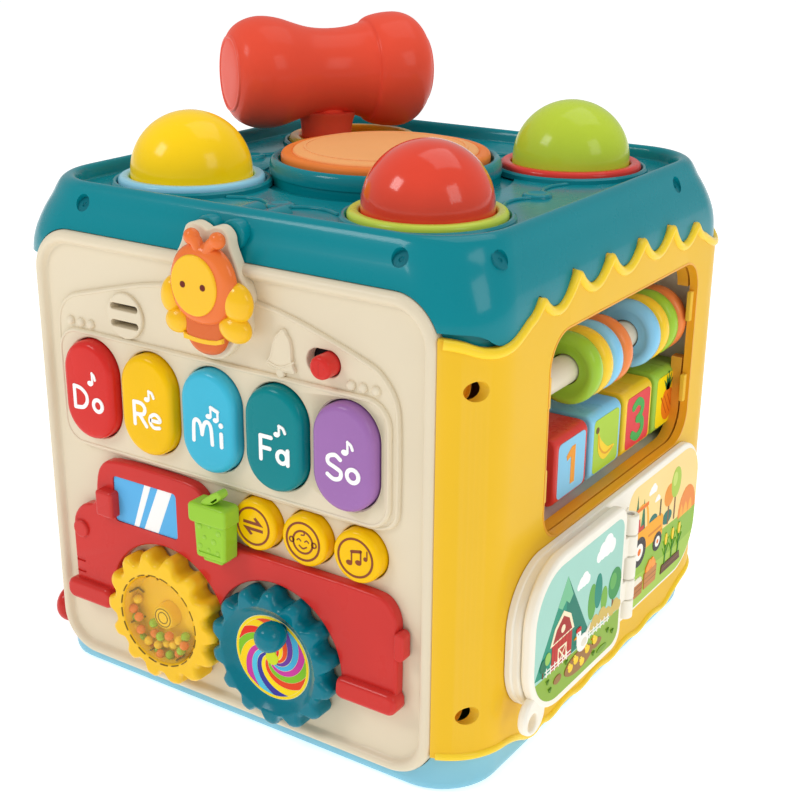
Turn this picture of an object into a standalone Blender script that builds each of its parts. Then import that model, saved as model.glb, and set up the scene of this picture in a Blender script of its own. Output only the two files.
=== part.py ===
"""Baby activity cube, as an assembly of separate parts.

X runs right along the front face, Y runs to the back, Z runs up. The origin is the
centre of the underside. Dimensions are in millimetres and are scaled to metres.
"""

import math

import bmesh
import bpy
from mathutils import Matrix, Vector

MM = 0.001

# ---------------------------------------------------------------- dimensions
HALF = 100.0  # half width of the body
CORNER = 23.0  # radius of the upright corners
WALL = 3.0  # thickness of the moulded walls
GAP = 0.3  # clearance between parts that touch

PANEL_HALF = 84.8
PANEL_Z0, PANEL_Z1 = 5.7, 174.1
PANEL_R = 16.0
RIM_Y = -100.0  # crest of the rim of the front panel
FIELD_Y = -97.5  # its recessed field
PLATE1_Y = -98.7  # step behind the figure and the keys
PLATE2_Y = -99.9  # step round the keys
PANEL_BACK = -94.5

KEY_X = (-57.5, -29.8, -2.0, 25.7, 53.4)
KEY_Z = 118.3
KEY_HALF_W, KEY_HALF_H = 11.9, 18.4
KEY_FRONT = -104.6
KEY_TRAVEL = 3.0
BUTTON_X = (15.2, 36.3, 57.5)
BUTTON_Z = 84.2
BUTTON_R = 9.3
BUTTON_FRONT = -102.2
BUTTON_TRAVEL = 2.5

WHEEL_Z = 37.1
WHEEL_X = (-26.5, 23.7)
WHEEL_TIP, WHEEL_ROOT = 26.2, 22.6
WHEEL_LOBES = 14
WHEEL_FRONT, WHEEL_BACK = -107.6, -98.3
ARCH_R = 27.4

TOP_FLOOR = 185.0
DOME_POS = 50.9
DOME_R = 22.2
RING_OUT = 26.7
SOCKET_BORE = 21.9
PAD_R = 39.0
COLLAR_R = 41.8

HAMMER_FOOT = (-60.4, 44.0, 146.0)  # centre of the foot of the handle
HAMMER_AZIMUTH = 55.2  # direction of the head, degrees from +X
HAMMER_LEAN = 1.0  # the handle leans this way, degrees
HAMMER_HEAD_UP = 68.4  # head centre above the foot, along the handle

WINDOW = (-54.0, 66.0, 81.0, 154.0)  # y0, y1, z0, z1
ROD_X, ROD_Z, ROD_R = 83.5, 127.9, 5.3
BEAD_R, BEAD_T = 13.3, 7.9
BEAD_Y = (-8.6, -0.4, 7.8, 16.0, 40.5, 48.7, 56.9, 65.1)
AXLE_X, AXLE_Z, AXLE_R = 80.25, 97.25, 2.6
BLOCK_Y = (-20.9, 6.7, 34.3, 61.9)
BLOCK_HALF, BLOCK_CORNER, BLOCK_T = 12.8, 4.0, 25.0

HINGE_X, HINGE_Y = 107.2, 1.5  # axis of the book

# ---------------------------------------------------------------- materials
COLOURS = {
    "teal": ((0.000, 0.280, 0.330), 0.30),
    "cream": ((0.760, 0.670, 0.540), 0.42),
    "cream_light": ((0.900, 0.850, 0.730), 0.38),
    "yellow": ((0.870, 0.500, 0.035), 0.40),
    "bright_yellow": ((0.940, 0.620, 0.010), 0.32),
    "red": ((0.620, 0.045, 0.030), 0.34),
    "scarlet": ((0.720, 0.065, 0.030), 0.34),
    "light_blue": ((0.220, 0.520, 0.690), 0.38),
    "sky": ((0.080, 0.480, 0.710), 0.34),
    "purple": ((0.400, 0.190, 0.480), 0.34),
    "orange": ((0.860, 0.220, 0.045), 0.36),
    "peach": ((0.900, 0.370, 0.130), 0.50),
    "green": ((0.300, 0.560, 0.030), 0.34),
    "lime": ((0.560, 0.720, 0.080), 0.34),
    "clear": ((0.900, 0.900, 0.860), 0.06),
    "board": ((0.020, 0.170, 0.060), 0.50),
    "steel": ((0.560, 0.560, 0.580), 0.30),
    "dark": ((0.030, 0.030, 0.035), 0.50),
}


def material(key, name):
    colour, roughness = COLOURS[key]
    mat = bpy.data.materials.new(name)
    mat.use_nodes = True
    shader = mat.node_tree.nodes["Principled BSDF"]
    shader.inputs["Base Color"].default_value = (*colour, 1.0)
    shader.inputs["Roughness"].default_value = roughness
    shader.inputs["Metallic"].default_value = 1.0 if key == "steel" else 0.0
    if key == "clear":
        shader.inputs["Transmission Weight"].default_value = 1.0
    return mat


# ---------------------------------------------------------------- helpers
def start_scene():
    for obj in list(bpy.data.objects):
        bpy.data.objects.remove(obj, do_unlink=True)
    for name, hidden in (("activity_cube", False), ("cutters", True)):
        collection = bpy.data.collections.new(name)
        bpy.context.scene.collection.children.link(collection)
        collection.hide_render = hidden


def publish(name, bm, colour, origin=(0, 0, 0), cutter=False, smooth=35):
    """Makes a named object of the mesh, with its origin at a point given in mm."""
    bmesh.ops.remove_doubles(bm, verts=bm.verts, dist=1e-6)
    bmesh.ops.recalc_face_normals(bm, faces=bm.faces)
    if bm.calc_volume(signed=True) < 0:
        bmesh.ops.reverse_faces(bm, faces=bm.faces)
    at = Vector(origin) * MM
    bmesh.ops.translate(bm, verts=bm.verts, vec=-at)
    mesh = bpy.data.meshes.new(name)
    bm.to_mesh(mesh)
    bm.free()
    mesh.shade_smooth()
    mesh.set_sharp_from_angle(angle=math.radians(smooth))
    obj = bpy.data.objects.new(name, mesh)
    obj.location = at
    bpy.data.collections["cutters" if cutter else "activity_cube"].objects.link(obj)
    if cutter:
        obj.hide_render = True
        obj.display_type = "WIRE"
    else:
        mesh.materials.append(material(colour, name + "_material"))
    return obj


def boolean(obj, other, operation="DIFFERENCE"):
    modifier = obj.modifiers.new(operation.title() + "_" + other.name[:40], "BOOLEAN")
    modifier.operation = operation
    modifier.solver = "EXACT"
    modifier.object = other
    return obj


def rounded(hx, hy, r, cx=0.0, cy=0.0, n=4):
    """A rectangle with round corners, counter-clockwise."""
    points = []
    for sx, sy, start in ((1, 1, 0), (-1, 1, 90), (-1, -1, 180), (1, -1, 270)):
        for k in range(n + 1):
            a = math.radians(start + 90.0 * k / n)
            points.append(
                (cx + sx * (hx - r) + r * math.cos(a), cy + sy * (hy - r) + r * math.sin(a))
            )
    return [p for k, p in enumerate(points) if math.dist(p, points[k - 1]) > 1e-6]


def round_points(r, n=24, cx=0.0, cy=0.0, turn=0.0):
    return [
        (
            cx + r * math.cos(2 * math.pi * k / n + turn),
            cy + r * math.sin(2 * math.pi * k / n + turn),
        )
        for k in range(n)
    ]


def lobed(tip, root, lobes, per=4, turn=0.0):
    """The outline of a wheel with round lobes and narrow valleys."""
    points = []
    for k in range(lobes * per):
        a = 2 * math.pi * (k + 0.5) / (lobes * per)
        r = root + (tip - root) * abs(math.cos(lobes * a / 2))
        points.append((r * math.cos(a + turn), r * math.sin(a + turn)))
    return points


def chaikin(points, times=1, closed=True):
    """Cuts the corners of an outline, which rounds it."""
    for _ in range(times):
        out = []
        count = len(points)
        for k in range(count if closed else count - 1):
            (ax, ay), (bx, by) = points[k], points[(k + 1) % count]
            out.append((0.75 * ax + 0.25 * bx, 0.75 * ay + 0.25 * by))
            out.append((0.25 * ax + 0.75 * bx, 0.25 * ay + 0.75 * by))
        points = out
    return points


def grow(points, by):
    """Moves each point of a closed counter-clockwise outline outwards."""
    out = []
    count = len(points)
    for k in range(count):
        a, b, c = points[k - 1], points[k], points[(k + 1) % count]
        e1 = Vector((b[0] - a[0], b[1] - a[1])).normalized()
        e2 = Vector((c[0] - b[0], c[1] - b[1])).normalized()
        n1, n2 = Vector((e1.y, -e1.x)), Vector((e2.y, -e2.x))
        m = (n1 + n2).normalized()
        out.append((b[0] + m.x * by / max(0.5, m.dot(n1)), b[1] + m.y * by / max(0.5, m.dot(n1))))
    return out


AXES = {
    "z": lambda a, b, c: (a, b, c),
    "y": lambda a, b, c: (a, c, b),
    "x": lambda a, b, c: (c, a, b),
}


def pull(levels, along="z"):
    """Starts from a face and extrudes it through each next outline.

    levels is a list of (outline, height); the outlines have the same number of points.
    """
    place = AXES[along]
    bm = bmesh.new()
    outline, height = levels[0]
    verts = [bm.verts.new(Vector(place(a, b, height)) * MM) for a, b in outline]
    face = bm.faces.new(verts)
    start = face
    for outline, height in levels[1:]:
        corners = [v.co.copy() for v in verts]
        last = face
        out = bmesh.ops.extrude_face_region(bm, geom=[face])
        face = next(g for g in out["geom"] if isinstance(g, bmesh.types.BMFace))
        if last is not start:
            bm.faces.remove(last)
        left = list(face.verts)
        verts = []
        for corner in corners:
            v = min(left, key=lambda w: (w.co - corner).length_squared)
            left.remove(v)
            verts.append(v)
        for v, (a, b) in zip(verts, outline):
            v.co = Vector(place(a, b, height)) * MM
    bm.normal_update()
    return bm


def slab(outline, c0, c1, along="z", edge=0.0, steps=1, both=False):
    """A plate with that outline from c0 to c1, its c1 edge rounded by edge."""
    levels = []
    sign = 1.0 if c1 > c0 else -1.0
    if both and edge:
        for k in range(steps, 0, -1):
            a = math.pi / 2 * k / steps
            levels.append((grow(outline, -edge * (1 - math.cos(a))), c0 + sign * edge * (1 - math.sin(a))))
    levels.append((outline, c0 + (sign * edge if both else 0.0)))
    levels.append((outline, c1 - sign * edge))
    if edge:
        for k in range(1, steps + 1):
            a = math.pi / 2 * k / steps
            levels.append((grow(outline, -edge * (1 - math.cos(a))), c1 - sign * edge * (1 - math.sin(a))))
    return pull(levels, along)


def turned(profile, along="z", centre=(0, 0, 0), steps=24):
    """Spins a profile of (radius, height) round an axis; both ends lie on it or it closes."""
    bm = bmesh.new()
    verts = [bm.verts.new(Vector((r, 0, h)) * MM) for r, h in profile]
    edges = [bm.edges.new((a, b)) for a, b in zip(verts, verts[1:])]
    if profile[0][0] > 0 and profile[-1][0] > 0:
        edges.append(bm.edges.new((verts[-1], verts[0])))
    bmesh.ops.spin(
        bm, geom=verts + edges, cent=(0, 0, 0), axis=(0, 0, 1), dvec=(0, 0, 0),
        angle=2 * math.pi, steps=steps, use_merge=True, use_duplicate=False,
    )
    bmesh.ops.remove_doubles(bm, verts=bm.verts, dist=1e-6)
    turn = {
        "z": Matrix(),
        "y": Matrix.Rotation(math.radians(90), 4, "X"),  # height runs to -Y
        "x": Matrix.Rotation(math.radians(90), 4, "Y"),  # height runs to +X
    }[along]
    bmesh.ops.transform(bm, matrix=turn, verts=bm.verts)
    bmesh.ops.translate(bm, verts=bm.verts, vec=Vector(centre) * MM)
    return bm


def box(x0, x1, y0, y1, z0, z1, edge=0.0, segments=1):
    bm = bmesh.new()
    bmesh.ops.create_cube(bm, size=1.0)
    for v in bm.verts:
        v.co = Vector(((x0 + x1) / 2 + v.co.x * (x1 - x0), (y0 + y1) / 2 + v.co.y * (y1 - y0), (z0 + z1) / 2 + v.co.z * (z1 - z0))) * MM
    if edge:
        bmesh.ops.bevel(bm, geom=list(bm.edges), offset=edge * MM, segments=segments, profile=0.5, affect="EDGES")
    return bm


def cylinder(r, c0, c1, along="z", a=0.0, b=0.0, n=20):
    return slab(round_points(r, n, a, b), c0, c1, along)


def shell_outline(half, corner, x0=84.9, n=4):
    """Half of the body's outline, from the front panel round the right side to the back."""
    centre = half - corner
    points = []
    first = math.degrees(math.asin(min(1.0, (x0 - centre) / corner)))
    for k in range(n + 1):
        a = math.radians(-90 + first + (90 - first) * k / n)
        points.append((centre + corner * math.cos(a), -centre + corner * math.sin(a)))
    for x, y in reversed(points[:]):
        points.append((x, -y))
    return points


TOP_KNOTS = [(-110, 163.5), (-97, 162.5), (-89, 158.2), (-80, 158.6), (-70, 163.0), (-62, 168.0),
             (-57, 168.8), (-50, 165.2), (-43, 168.8), (-37, 172.4), (-30, 170.0), (-24, 165.2),
             (-18, 169.4), (-12.5, 172.6), (-6, 169.4), (0.5, 165.2), (7, 169.6), (12.8, 172.6),
             (19, 169.4), (25.5, 165.2), (32, 169.6), (38, 172.4), (44, 169.0), (50, 165.2),
             (57, 168.8), (62, 168.0), (70, 163.0), (80, 158.6), (89, 158.2), (97, 162.5), (110, 163.5)]
LOW_KNOTS = [(-110, 16.5), (-97, 16.0), (-80, 14.8), (-66, 13.4), (-54, 9.2), (-48, 12.4), (-42, 9.6),
             (-29, 12.6), (-17, 9.4), (-4, 12.6), (8.5, 9.4), (21, 12.6), (33.5, 9.6), (45, 12.6),
             (57.5, 10.0), (66, 14.0), (80, 16.0), (97, 16.0), (110, 16.5)]


def edge_cutter(name, knots, far, by, x0, x1):
    """Everything beyond a wavy line, as a prism along X."""
    outline = [(y, z + by) for y, z in knots] + [(knots[-1][0], far), (knots[0][0], far)]
    return publish(name, slab(outline, x0, x1, "x"), None, cutter=True)


# ---------------------------------------------------------------- base
def make_base():
    def ring(half, r, z):
        return (rounded(half, half, r, n=5), z)

    tray = publish("base_tray", pull([
        ring(93.6, 20, 0.0), ring(96.0, 21.5, 1.4), ring(97.0, 22.5, 4.2), ring(96.8, 22.5, 18.0),
        ring(93.8, 20, 18.0), ring(93.8, 20, 4.0),
    ]), "light_blue")
    boolean(tray, publish("well_walls", box(-34, 34, 23, 61, 2.5, 23), None, cutter=True), "UNION")
    boolean(tray, publish("well_cavity", box(-31, 31, 26, 58, -1, 20), None, cutter=True))
    boolean(tray, publish("door_recess", box(-38.3, 46.3, 22.7 + 0.0, 61.3, -1, 2.6), None, cutter=True))
    boolean(tray, publish("door_screw_boss", box(33.5, 46, 36, 48, 2.8, 9), None, cutter=True), "UNION")
    boolean(tray, publish("door_screw_pilot", cylinder(1.4, -1, 7.5, a=40, b=42, n=12), None, cutter=True))
    mid, half_h = (PANEL_Z0 + PANEL_Z1) / 2, (PANEL_Z1 - PANEL_Z0) / 2
    for side, y0, y1 in (("front", -88.6, -120), ("back", 88.6, 120)):
        boolean(tray, publish("base_room_" + side, slab(rounded(PANEL_HALF + GAP, half_h + GAP, PANEL_R + GAP, 0, mid, 4), y0, y1, "y"), None, cutter=True))
    door = publish("battery_door", box(-38, 46, 23, 61, 0.2, 2.3), "light_blue")
    boolean(door, publish("door_screw_hole", cylinder(3.2, -1, 4, a=40, b=42, n=16), None, cutter=True))
    publish("battery_door_screw", turned([(0, 0.5), (2.9, 0.5), (2.9, 1.6), (1.1, 2.2), (1.1, 7.0), (0, 7.3)], centre=(40, 42, 0), steps=12), "steel")
    for k, y in ((1, 34.4), (2, 49.6)):
        publish("battery_cell_%d" % k, turned([(0, -25.2), (7.1, -25.2), (7.1, 23.6), (2.7, 23.6), (2.7, 25.2), (0, 25.2)], "x", (0, y, 10.4), 14), "dark")


# ---------------------------------------------------------------- walls
def wall_solid(name, inner, outer, z0, z1, colour, cutter=False, by=0.0, x0=84.9, n=4):
    out = shell_outline(outer, CORNER + outer - HALF, x0, n)
    inn = shell_outline(inner, CORNER + inner - HALF, x0, n)
    wall = publish(name, slab(out + inn[::-1], z0, z1), colour, cutter=cutter)
    return wall


def make_walls():
    right = wall_solid("right_wall", HALF - WALL, HALF, 7.0, 176.0, "yellow")
    top = edge_cutter("wall_top_cutter", TOP_KNOTS, 200, 0, 60, 130)
    low = edge_cutter("wall_low_cutter", LOW_KNOTS, -20, 0, 60, 130)
    boolean(right, top)
    boolean(right, low)
    y0, y1, z0, z1 = WINDOW
    hole = rounded((y1 - y0) / 2, (z1 - z0) / 2, 12, (y0 + y1) / 2, (z0 + z1) / 2, 4)
    boolean(right, publish("window_cutter", slab(hole, 80, 120, "x"), None, cutter=True))
    for k, z in ((1, 145.8), (2, 32.6)):
        boolean(right, publish("wall_screw_well_%d" % k, cylinder(3.3, 80, 130, "x", -91.3, z, 12), None, cutter=True))

    left = wall_solid("left_wall", HALF - WALL, HALF - 1.2, 7.0, 176.0, "scarlet", x0=84.9)
    left.matrix_world = Matrix.Scale(-1, 4, (1, 0, 0)) @ left.matrix_world
    mirror = Matrix.Scale(-1, 4, (1, 0, 0))
    for source in (TOP_KNOTS, LOW_KNOTS):
        pass
    ltop = edge_cutter("left_top_cutter", TOP_KNOTS, 200, 0, -130, -60)
    llow = edge_cutter("left_low_cutter", LOW_KNOTS, -20, 0, -130, -60)
    bm = bmesh.new()
    bm.from_mesh(left.data)
    bmesh.ops.transform(bm, matrix=mirror, verts=bm.verts)
    bmesh.ops.reverse_faces(bm, faces=bm.faces)
    bm.to_mesh(left.data)
    bm.free()
    left.matrix_world = Matrix()
    boolean(left, ltop)
    boolean(left, llow)

    # back panel: the same tray form as the front one, with a plain sunken field
    def ring(dx, r, y):
        return (rounded(PANEL_HALF - dx, (PANEL_Z1 - PANEL_Z0) / 2 - dx, r, 0, (PANEL_Z0 + PANEL_Z1) / 2, 4), y)

    publish("back_wall", pull([
        ring(4.6, 11.6, 94.5), ring(4.6, 11.6, 89.0), ring(0, PANEL_R, 89.0), ring(0, PANEL_R, 98.4), ring(2.2, 14, 100.0),
        ring(4.6, 11.6, 97.5),
    ], "y"), "cream")


# ---------------------------------------------------------------- front panel
PLATE_OUTER = [(-75.6, 104), (-75.8, 136), (-75.2, 143.5), (-72.8, 148.3), (-68.4, 151.6), (-63.0, 153.1),
               (-22.0, 164.0), (18.8, 164.1), (60.7, 150.7), (66.3, 147.2), (71.1, 140.4), (72.2, 133), (72.2, 104),
               (71.5, 98.5), (67.5, 94.8), (60.7, 93.5), (-64, 93.5), (-71.5, 95.0), (-75.0, 99)]
BEE_BACK = [(-9.4, 184.0), (-7.0, 186.6), (-2.4, 187.6), (0.8, 186.0), (3.8, 187.6), (7.1, 187.0), (9.8, 184.0), (9.9, 180.6),
            (12.4, 177.6), (15.1, 174.3), (16.4, 170.3), (18.9, 167.3), (20.6, 162.6), (19.6, 158.1), (20.0, 153.4), (16.6, 148.0),
            (11.1, 145.6), (6.4, 144.6), (3.3, 141.4), (-2.0, 140.0), (-6.6, 141.6), (-10.5, 145.0), (-13.9, 147.0), (-17.8, 150.2),
            (-18.6, 154.6), (-17.9, 157.6), (-19.2, 162.2), (-18.6, 165.9), (-16.6, 169.0), (-13.9, 173.9), (-11.1, 179.0)]


def ccw(points):
    area = sum(a[0] * b[1] - b[0] * a[1] for a, b in zip(points, points[1:] + points[:1]))
    return points if area > 0 else points[::-1]


def make_front():
    mid, half_h = (PANEL_Z0 + PANEL_Z1) / 2, (PANEL_Z1 - PANEL_Z0) / 2

    def ring(dx, r, y):
        return (rounded(PANEL_HALF - dx, half_h - dx, r, 0, mid, 4), y)

    panel = publish("front_panel", pull([
        ring(4.8, 11.4, PANEL_BACK), ring(4.8, 11.4, -89.0), ring(0, PANEL_R, -89.0), ring(0, PANEL_R, -98.4),
        ring(1.0, 15, -99.6), ring(2.2, 14, RIM_Y), ring(3.6, 12.6, -99.4), ring(4.8, 11.4, FIELD_Y),
    ], "y"), "cream")
    boolean(panel, publish("step_outer", slab(ccw(PLATE_OUTER), -95.6, PLATE1_Y, "y"), None, cutter=True), "UNION")
    boolean(panel, publish("step_inner", slab(rounded(71.9, 22.3, 9, -2.6, 117.2, 3), -95.9, PLATE2_Y, "y"), None, cutter=True), "UNION")
    boolean(panel, publish("figure_backing", slab(ccw(BEE_BACK), -97.6, -100.9, "y"), None, cutter=True), "UNION")
    for k, x in enumerate(KEY_X):
        boolean(panel, publish("key_hole_%d" % k, slab(rounded(KEY_HALF_W + 0.45, KEY_HALF_H + 0.45, KEY_HALF_W + 0.45, x, KEY_Z, 4), -90, -105, "y"), None, cutter=True))
    for k, x in enumerate(BUTTON_X):
        boolean(panel, publish("button_hole_%d" % k, cylinder(BUTTON_R + 0.4, -90, -105, "y", x, BUTTON_Z, 18), None, cutter=True))
    boolean(panel, publish("switch_slot", slab(rounded(6.6, 4.4, 4.3, 43.0, 147.0, 4), -90, -105, "y"), None, cutter=True))
    for k, x in enumerate(WHEEL_X):
        boolean(panel, publish("axle_hole_%d" % k, cylinder(3.3, -90, -105, "y", x, WHEEL_Z, 16), None, cutter=True))
    for k, z in enumerate((144.9, 151.0)):
        boolean(panel, publish("speaker_slot_%d" % k, slab(rounded(6.4, 1.7, 1.6, -41.3, z, 2), -90, -105, "y"), None, cutter=True))
    boolean(panel, publish("bin_slot", box(-3.2, 3.2, -105, -90, 70.6, 84.4), None, cutter=True))

    for name, x, colour in zip(("key_do", "key_re", "key_mi", "key_fa", "key_so"), KEY_X, ("red", "bright_yellow", "sky", "teal", "purple")):
        face = rounded(KEY_HALF_W, KEY_HALF_H, KEY_HALF_W, x, KEY_Z, 4)
        stem = grow(face, 0.9)
        publish(name, pull([
            (stem, -92.4), (stem, -94.1), (face, -94.1), (face, KEY_FRONT + 1.6), (grow(face, -0.6), KEY_FRONT + 0.5), (grow(face, -2.0), KEY_FRONT),
        ], "y"), colour, (x, -98, KEY_Z))
    for name, x in zip(("button_swap", "button_face", "button_music"), BUTTON_X):
        publish(name, turned([(0, 92.4), (10.2, 92.4), (10.2, 94.1), (BUTTON_R, 94.1), (BUTTON_R, -BUTTON_FRONT - 1.2), (BUTTON_R - 1.3, -BUTTON_FRONT), (0, -BUTTON_FRONT)], "y", (x, 0, BUTTON_Z), 18), "bright_yellow", (x, -98, BUTTON_Z))
    publish("volume_switch", pull([
        (rounded(7.6, 5.6, 2, 43.6, 147, 4), -91.6), (rounded(7.6, 5.6, 2, 43.6, 147, 4), -94.1),
        (rounded(4.0, 4.0, 3.99, 45.2, 147, 4), -94.1), (rounded(4.0, 4.0, 3.99, 45.2, 147, 4), -103.6), (rounded(3.3, 3.3, 3.29, 45.2, 147, 4), -104.4),
    ], "y"), "red", (45.2, -98, 147))

    # truck, with its wheel arches and the slot that the bin slides in
    outline = [(-74.9, 39.5), (-72.6, 41.2), (-73.0, 62.0), (-71.2, 67.4), (-66.6, 71.6), (-60.0, 72.9), (-59.0, 84.0), (-56.6, 89.6), (-51.0, 93.0),
               (-14.5, 93.1), (-8.6, 91.0), (-5.7, 86.0), (-5.0, 73.1), (64.8, 73.1), (70.0, 71.4), (73.2, 66.0), (73.4, 62.2), (76.0, 61.0), (76.0, 53.0), (73.6, 51.8),
               (73.6, 43.2), (75.8, 41.0), (75.4, 35.5), (71.0, 31.3), (-69.5, 31.3), (-74.0, 34.5)]
    truck = publish("truck_body", slab(ccw(outline), FIELD_Y - GAP, -101.8, "y", 1.0, 1), "red")
    for k, x in enumerate(WHEEL_X):
        boolean(truck, publish("arch_%d" % k, cylinder(ARCH_R, -90, -110, "y", x, WHEEL_Z, 28), None, cutter=True))
    boolean(truck, publish("truck_belly_cutter", box(-26, 23, -110, -90, 20, 44), None, cutter=True))
    boolean(truck, publish("truck_bin_slot", box(-3.2, 3.2, -110, -90, 70.6, 84.4), None, cutter=True))
    boolean(truck, publish("mirror_boss", box(-56.6, -48.4, -105.6, -100.5, 70.6, 81.0, 0.8), None, cutter=True), "UNION")

    # waste bin on its slide
    lid = rounded(8.3, 3.5, 1.6, 1.2, 88.2, 2)
    bin_ = publish("waste_bin", pull([
        (rounded(7.2, 8.8, 1.4, 1.2, 78.8, 2), -102.3), (rounded(7.2, 8.8, 1.4, 1.2, 78.8, 2), -108.0), (rounded(6.4, 8.2, 1.4, 1.2, 79.0, 2), -109.0),
    ], "y"), "green", (2.0, -100, 78))
    boolean(bin_, publish("bin_lid", slab(lid, -102.7, -110.4, "y", 0.8, 1), None, cutter=True), "UNION")
    boolean(bin_, publish("bin_foot", slab(rounded(4.4, 2.0, 1.0, 1.1, 70.4, 2), -102.4, -107.6, "y"), None, cutter=True), "UNION")
    boolean(bin_, publish("bin_handle", slab(ccw([(-3.4, 90.8), (5.0, 97.0), (6.8, 96.4), (7.0, 94.2), (2.0, 90.6)]), -105.0, -109.4, "y", 0.6, 1), None, cutter=True), "UNION")
    boolean(bin_, publish("bin_stem", box(-2.8, 2.8, -103.5, -93.2, 72.0, 77.0), None, cutter=True), "UNION")
    boolean(bin_, publish("bin_keeper", box(-5.8, 4.4, -94.1, -92.2, 70.4, 78.6), None, cutter=True), "UNION")

    # flying insect: wings behind, body in front
    wings = [(-15.8, 158.0), (-16.4, 163.5), (-14.6, 168.0), (-10.0, 170.5), (0, 166), (10.3, 167.4), (15.8, 169.6), (20.4, 168.2), (22.4, 163.6),
             (20.8, 158.2), (21.2, 154.2), (17.4, 150.4), (10.6, 149.0), (6, 151.0), (0, 153), (-7.0, 150.2), (-12.4, 150.6), (-15.9, 153.6)]
    publish("bee_wings", slab(chaikin(ccw(wings)), -101.2, -105.0, "y", 1.2, 1), "bright_yellow")
    body = [(-11.8, 172.0), (-8.6, 177.6), (-3.0, 180.6), (3.4, 181.0), (8.8, 179.0), (12.6, 174.4), (13.8, 169.0), (12.6, 163.6), (9.0, 159.0),
            (8.6, 155.4), (9.0, 150.4), (6.4, 146.0), (1.8, 144.0), (-3.0, 144.4), (-6.8, 147.4), (-8.2, 152.0), (-8.6, 156.4), (-11.8, 160.6), (-13.4, 166.4)]
    bee = publish("bee_body", slab(ccw(body), -105.3, -109.6, "y", 1.8, 2), "orange")
    for k, (x0, z0, x1, z1) in enumerate(((0.8, 179.0, -3.4, 184.2), (3.4, 179.0, 8.6, 184.6))):
        rod = bmesh.new()
        bmesh.ops.create_cone(rod, cap_ends=True, segments=10, radius1=2.0 * MM, radius2=2.4 * MM, depth=math.hypot(x1 - x0, z1 - z0) * MM)
        bmesh.ops.transform(rod, matrix=Matrix.Translation(Vector(((x0 + x1) / 2, -107.2, (z0 + z1) / 2)) * MM) @ Vector((x1 - x0, 0, z1 - z0)).to_track_quat("Z", "Y").to_matrix().to_4x4(), verts=rod.verts)
        boolean(bee, publish("feeler_%d" % k, rod, None, cutter=True), "UNION")


# ---------------------------------------------------------------- wheels
def make_wheels():
    pitch = math.pi / WHEEL_LOBES
    for index, (name, x, colour) in enumerate((("rattle_wheel", WHEEL_X[0], "yellow"), ("crank_wheel", WHEEL_X[1], "teal"))):
        turn = 0.0 if index == 0 else pitch
        full = [(x + a, WHEEL_Z + b) for a, b in lobed(WHEEL_TIP, WHEEL_ROOT, WHEEL_LOBES, 4, turn)]
        small = [(x + a, WHEEL_Z + b) for a, b in lobed(WHEEL_TIP - 0.9, WHEEL_ROOT - 0.7, WHEEL_LOBES, 4, turn)]
        tiny = [(x + a, WHEEL_Z + b) for a, b in lobed(WHEEL_TIP - 2.6, WHEEL_ROOT - 1.8, WHEEL_LOBES, 4, turn)]
        wheel = publish(name, pull([(small, WHEEL_BACK), (full, WHEEL_BACK - 1.2), (full, WHEEL_FRONT + 2.4), (small, WHEEL_FRONT + 0.9), (tiny, WHEEL_FRONT)], "y"), colour, (x, WHEEL_BACK, WHEEL_Z))
        if index == 0:
            well = turned([(0, 100.4), (16.6, 100.4), (17.4, 112), (0, 112)], "y", (x, 0, WHEEL_Z), 24)
        else:
            well = turned([(0, 104.2), (16.4, 104.2), (19.6, 106.2), (20.4, 112), (0, 112)], "y", (x, 0, WHEEL_Z), 24)
        boolean(wheel, publish(name + "_dish", well, None, cutter=True))
        if index == 0:
            post = cylinder(4.6, -99.6, -103.9, "y", x, WHEEL_Z, 16)
            boolean(wheel, publish("rattle_hub", post, None, cutter=True), "UNION")
        boolean(wheel, publish(name + "_bore", cylinder(2.8, -90, -102.6, "y", x, WHEEL_Z, 16), None, cutter=True))
    x = WHEEL_X[0]
    publish("rattle_lens", turned([(0, 106.6), (16.9, 106.6), (16.9, 107.6), (15.0, 108.4), (0, 108.8)], "y", (x, 0, WHEEL_Z), 24), "clear", (x, WHEEL_BACK, WHEEL_Z))
    beads = [(x + 15.6 * math.cos(a), WHEEL_Z + 15.6 * math.sin(a)) for a in [math.radians(t) for t in range(200, 341, 14)]]
    beads += [(x + 6.6 * math.cos(a), WHEEL_Z + 6.6 * math.sin(a)) for a in [math.radians(t) for t in range(340, 199, -14)]]
    publish("rattle_beads", slab(ccw(beads), -100.8, -105.8, "y"), "orange", (x, WHEEL_BACK, WHEEL_Z))
    publish("rattle_axle", turned([(0, 90.0), (5.4, 90.0), (5.4, 92.6), (2.5, 92.6), (2.5, 102.2), (0, 102.2)], "y", (x, 0, WHEEL_Z), 16), "steel")
    x = WHEEL_X[1]
    publish("crank_axle", turned([(0, 90.0), (5.4, 90.0), (5.4, 92.6), (2.5, 92.6), (2.5, 102.2), (0, 102.2)], "y", (x, 0, WHEEL_Z), 16), "steel")
    kx, kz = x + CRANK_KNOB[0], WHEEL_Z + CRANK_KNOB[1]
    publish("crank_knob", turned([(0, 104.5), (2.4, 104.5), (2.5, 106.2), (3.9, 107.5), (5.1, 110.0), (5.1, 112.6), (3.9, 115.0), (2.0, 116.2), (0, 116.5)], "y", (kx, 0, kz), 16), "teal", (kx, -104, kz))


CRANK_KNOB = (5.0, 13.0)


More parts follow.
